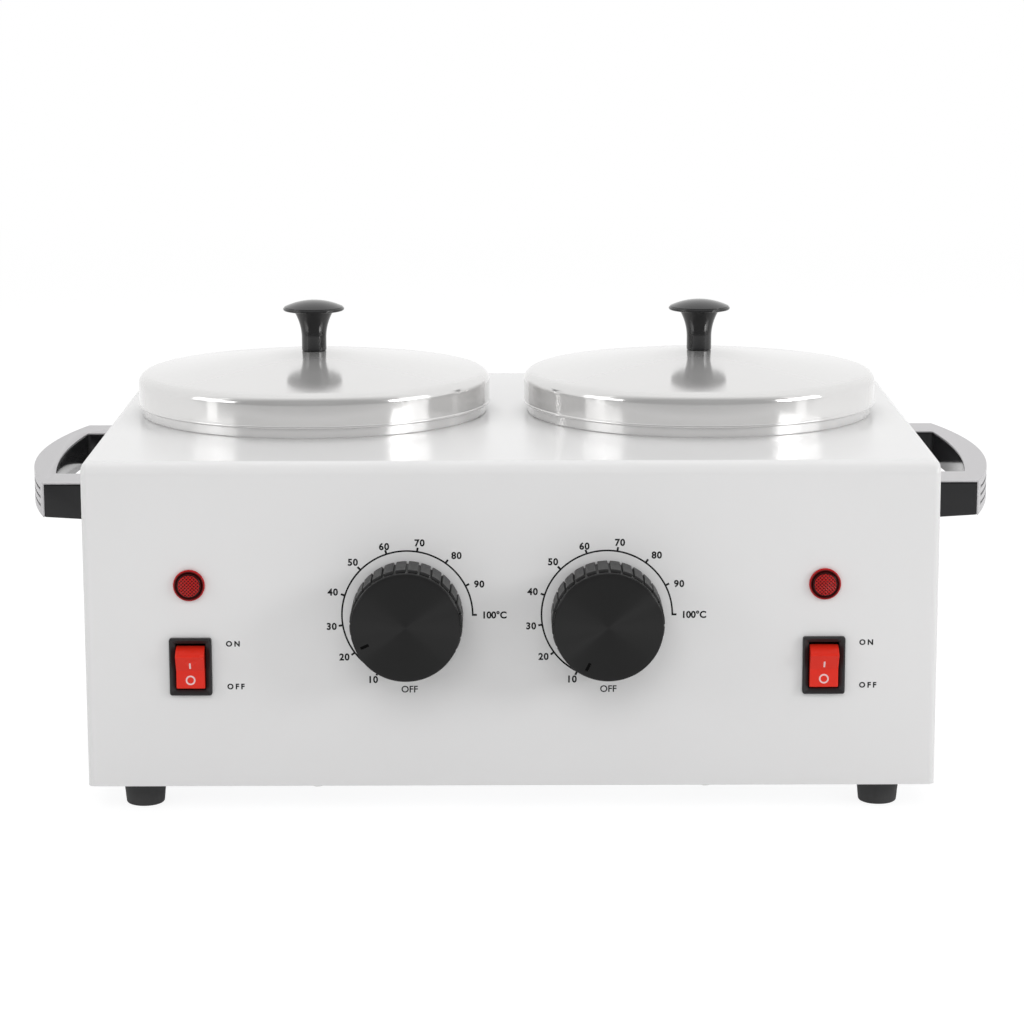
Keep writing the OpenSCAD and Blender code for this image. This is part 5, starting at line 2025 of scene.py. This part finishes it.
@dataclass
class Screws:
    """The cross-head screws under the base, with heads sized by their shanks."""

    base_low: float = 11.0
    base_radius: float = 1.5
    base_length: float = 7.0
    foot_radius: float = 2.0
    foot_low: float = 5.5
    foot_length: float = 10.9
    side_x: float = 145.8
    inner_x: float = 70.38
    front_y: float = -97.65
    rear_y: float = 109.95
    middle_y: float = 6.15
    head_share: float = 1.8
    thick_share: float = 1.2
    flat_share: float = 0.6
    cross_shares: tuple[float, float, float] = (1.0, 0.24, 0.05)
    cross_depth: float = 0.45
    point: float = 0.4
    feet: Feet = field(default_factory=Feet)

    def screw(self, radius: float, length: float) -> bpy.types.Object:
        """Makes one screw with its head below the origin.

        Args:
            radius: its shank's radius.
            length: its shank's length.

        Returns:
            The screw.
        """
        head = radius * self.head_share
        thick = radius * self.thick_share
        point = self.point
        row = [(0, -thick), (head * self.flat_share, -thick)]
        row += arc((head - thick / 2, -thick / 2), thick / 2, -90, 0, 4)
        row += [(head, 0), (radius, 0), (radius, length - point), (radius - point, length), (0, length)]
        piece = turned("screw", row, PLATED, 32)
        for turn in (0, 90):
            cross = prism("cross", round_rect(*[head * share for share in self.cross_shares], 2),
                          -thick - CLEAR, -thick * self.cross_depth)
            place(cross, (0, 0, 0), Matrix.Rotation(math.radians(turn), 4, "Z"))
            combine(piece, cross, Cut.AWAY)
        smooth(piece, 30)
        return piece

    def group(self, name: str, node: str, screw: bpy.types.Object, spots: list[Point3]) -> None:
        """Puts a copy of a screw at each of several spots.

        Args:
            name: the piece's name.
            node: the CAD node it stands for.
            screw: the screw, which is used up.
            spots: where the copies go.
        """
        piece = new_piece(name, spots)
        SCATTER.apply(piece, PLATED, Copy=screw)
        bpy.data.objects.remove(screw)
        hand_in(piece, "housing", [node])

    def build(self) -> None:
        """Makes the screws of the base and of the feet."""
        spots = [(x, y, self.base_low) for x in (-self.inner_x, self.inner_x)
                 for y in (self.front_y, self.rear_y)]
        spots += [(x, self.middle_y, self.base_low) for x in (-self.side_x, self.side_x)]
        screw = self.screw(self.base_radius, self.base_length)
        self.group("base_cross_screws", "base_screws", screw, spots)
        spots = [(side.sign * self.feet.x, y, self.foot_low) for _, y in self.feet.rows for side in Side]
        screw = self.screw(self.foot_radius, self.foot_length)
        self.group("foot_cross_screws", "foot_screws", screw, spots)


class InnerPieces:
    """The CAD nodes that stay as they are, mostly out of sight, with real finishes."""

    def build(self) -> None:
        """Gives each CAD node its slot's finish, but plain steel where that needs a turned form."""
        slots = {row["node"]: row["material_slot"] for row in frame["record"]["subparts"]}
        for name, node in frame["nodes"].items():
            finish = SLOT_FINISH[slots[name]]
            if isinstance(finish, TurnedFinish):
                finish = PLATED
            node.data.materials.clear()
            node.data.materials.append(finish.material())


# The studio


@dataclass(frozen=True)
class SoftLamp:
    """A rectangular lamp, with its power in watts."""

    name: str
    at: Point3
    size: tuple[float, float]
    power: float
    aim: Point3 = (0.0, 0.0, 80.0)
    in_mirrors: bool = True

    def hang(self) -> None:
        """Hangs the lamp, pointed at its aim."""
        data = bpy.data.lights.new(self.name, "AREA")
        data.shape = "RECTANGLE"
        data.size, data.size_y = [length * MM for length in self.size]
        data.energy = self.power
        lamp = bpy.data.objects.new(self.name, data)
        bpy.context.scene.collection.objects.link(lamp)
        lamp.location = Vector(self.at) * MM
        lamp.rotation_mode = "QUATERNION"
        lamp.rotation_quaternion = (Vector(self.aim) - Vector(self.at)).to_track_quat("-Z", "Y")
        lamp.visible_glossy = self.in_mirrors


@dataclass
class Studio:
    """A pale floor, a white world, soft lamps and the camera."""

    camera_at: Point3 = (-0.764, -1190.89, 321.64)
    yaw: float = 0.0011
    pitch: float = 0.191
    roll: float = -0.0024
    focal: float = 109.4
    sensor: float = 36.0
    clip_start: float = 10.0
    fill: float = 0.40
    dim_room: float = 0.20
    room_span: tuple[float, float] = (-0.75, 0.05)
    floor_size: float = 60000.0
    floor_albedo: float = 0.24
    bounce_albedo: float = 0.8
    floor_glow: float = 0.86
    glow_span: tuple[float, float] = (700.0, 2100.0)
    dim_floor: float = 0.38
    dim_span: tuple[float, float] = (-1400.0, -350.0)
    overhead: SoftLamp = SoftLamp("overhead_softbox", (0, 520, 1300), (1300, 1000), 8.4,
                                  in_mirrors=False)
    front: SoftLamp = SoftLamp("front_softbox", (-100, -1700, 1200), (1500, 1000), 10.2,
                               in_mirrors=False)
    left_powers: tuple[float, float, float] = (0.9, 1.2, 0.24)
    right_powers: tuple[float, float, float] = (3.0, 1.8, 0.16)

    def camera(self) -> None:
        """Places the camera where the photograph was taken from."""
        data = bpy.data.cameras.new("camera")
        data.lens = self.focal
        data.sensor_width = self.sensor
        data.clip_start = self.clip_start * MM
        camera = bpy.data.objects.new("camera", data)
        bpy.context.scene.collection.objects.link(camera)
        level = math.cos(self.pitch)
        ahead = Vector((math.sin(self.yaw) * level, math.cos(self.yaw) * level, -math.sin(self.pitch)))
        right = Vector((math.cos(self.yaw), -math.sin(self.yaw), 0))
        up = right.cross(ahead)
        tipped_right = right * math.cos(self.roll) + up * math.sin(self.roll)
        tipped_up = up * math.cos(self.roll) - right * math.sin(self.roll)
        turn = Matrix((tipped_right, tipped_up, -ahead)).transposed().to_4x4()
        camera.matrix_world = Matrix.Translation(Vector(self.camera_at) * MM) @ turn
        bpy.context.scene.camera = camera

    def looked_at(self, graph: Graph, names: tuple[str, ...]) -> bpy.types.NodeSocket:
        """Tells whether a surface or the world is met by one of several kinds of ray.

        Args:
            graph: the tree.
            names: the kinds, as the Light Path node calls them.

        Returns:
            One where it is, and nought elsewhere.
        """
        rays = graph.add("ShaderNodeLightPath").outputs
        total = rays[names[0]]
        for name in names[1:]:
            total = graph.calc("ADD", total, rays[name])
        return graph.calc("MINIMUM", total, 1.0)

    def light(self, graph: Graph, strength: bpy.types.NodeSocket) -> bpy.types.NodeSocket:
        """Adds a white glow of a given strength."""
        return graph.add("ShaderNodeEmission", {"Color": (1, 1, 1, 1), "Strength": strength}).outputs[0]

    def world(self) -> None:
        """Makes a white world that fills gently, with a dimmer room on the viewer's side."""
        world = bpy.data.worlds.new("studio")
        bpy.context.scene.world = world
        world.use_nodes = True
        tree = world.node_tree
        tree.nodes.clear()
        graph = Graph(tree)
        way = graph.add("ShaderNodeTexCoord").outputs["Generated"]
        depth = graph.add("ShaderNodeSeparateXYZ", {0: way}).outputs[1]
        room = graph.spread(depth, self.dim_room, 1.0, *self.room_span, "SMOOTHSTEP")
        seen = self.looked_at(graph, ("Is Camera Ray", "Is Transmission Ray"))
        mirrored = self.looked_at(graph, ("Is Glossy Ray",))
        strength = graph.mix(seen, graph.mix(mirrored, self.fill, room), 1.0)
        white = graph.add("ShaderNodeBackground", {"Color": (1, 1, 1, 1), "Strength": strength})
        graph.add("ShaderNodeOutputWorld", {"Surface": white.outputs[0]})

    def floor(self) -> None:
        """Makes the floor, white to the eye apart from the object's soft shadow."""
        half = self.floor_size / 2
        corners = [(x, y, 0) for x, y in bar_outline(-half, half, self.floor_size)]
        floor = new_piece("floor", corners, [[0, 1, 2, 3]])
        material = bpy.data.materials.new("pale_floor")
        material.use_nodes = True
        tree = material.node_tree
        tree.nodes.clear()
        graph = Graph(tree)
        seen = self.looked_at(graph, ("Is Camera Ray", "Is Glossy Ray", "Is Transmission Ray"))
        spot = graph.add("ShaderNodeTexCoord").outputs["Object"]
        away = graph.add("ShaderNodeVectorMath", {0: spot}, operation="LENGTH").outputs["Value"]
        start, end = (reach * MM for reach in self.glow_span)
        share = graph.spread(away, 0.0, 1.0, start, end, "SMOOTHSTEP")
        matt = graph.add("ShaderNodeBsdfDiffuse", {"Color": (*[self.bounce_albedo] * 3, 1)}).outputs[0]
        faint = graph.add("ShaderNodeBsdfDiffuse", {"Color": (*[self.floor_albedo] * 3, 1)}).outputs[0]
        depth = graph.add("ShaderNodeSeparateXYZ", {0: spot}).outputs[1]
        start, end = (reach * MM for reach in self.dim_span)
        mirrored = self.looked_at(graph, ("Is Glossy Ray",))
        lit = graph.mix(mirrored, 1.0, graph.spread(depth, self.dim_floor, 1.0, start, end))
        glow = self.light(graph, graph.calc("MULTIPLY", lit, self.floor_glow))
        near = graph.add("ShaderNodeAddShader", {0: faint, 1: glow}).outputs[0]
        far = self.light(graph, lit)
        shown = graph.add("ShaderNodeMixShader", {0: share, 1: near, 2: far}).outputs[0]
        mixed = graph.add("ShaderNodeMixShader", {0: seen, 1: matt, 2: shown})
        graph.add("ShaderNodeOutputMaterial", {"Surface": mixed.outputs[0]})
        floor.data.materials.append(material)

    def side_lamps(self, side: Side, powers: tuple[float, float, float]) -> list[SoftLamp]:
        """Sets out one side's three lamps, each with a twin on the other side.

        Args:
            side: the side.
            powers: the power of each lamp.

        Returns:
            The lamps.
        """
        name, x = side.value, side.sign
        key, softbox, strip = powers
        return [SoftLamp(name + "_key", (x * 1170, -735, 475), (320, 320), key),
                SoftLamp(name + "_softbox", (x * 1300, -400, 520), (450, 500), softbox),
                SoftLamp(name + "_strip", (x * 820, -360, 450), (120, 880), strip, (0, -360, 450))]

    def build(self) -> None:
        """Makes the whole studio."""
        bpy.context.scene.view_settings.view_transform = "Standard"
        self.camera()
        self.world()
        self.floor()
        lamps = [self.overhead, self.front, *self.side_lamps(Side.LEFT, self.left_powers),
                 *self.side_lamps(Side.RIGHT, self.right_powers)]
        for lamp in lamps:
            lamp.hang()


def build_all() -> None:
    """Builds the studio and every piece in order."""
    logging.basicConfig(level=logging.INFO, format="%(name)s %(message)s")
    Studio().build()
    InnerPieces().build()
    makers = [Housing(), PanelPrint(), Feet(), CordGland(), Wells(), Screws()]
    for side in Side:
        makers += [PotAndLid(side), Dial(side), Switch(side), Lamp(side), Handle(side)]
    for maker in makers:
        maker.build()


if __name__ == "__main__":
    build_all()
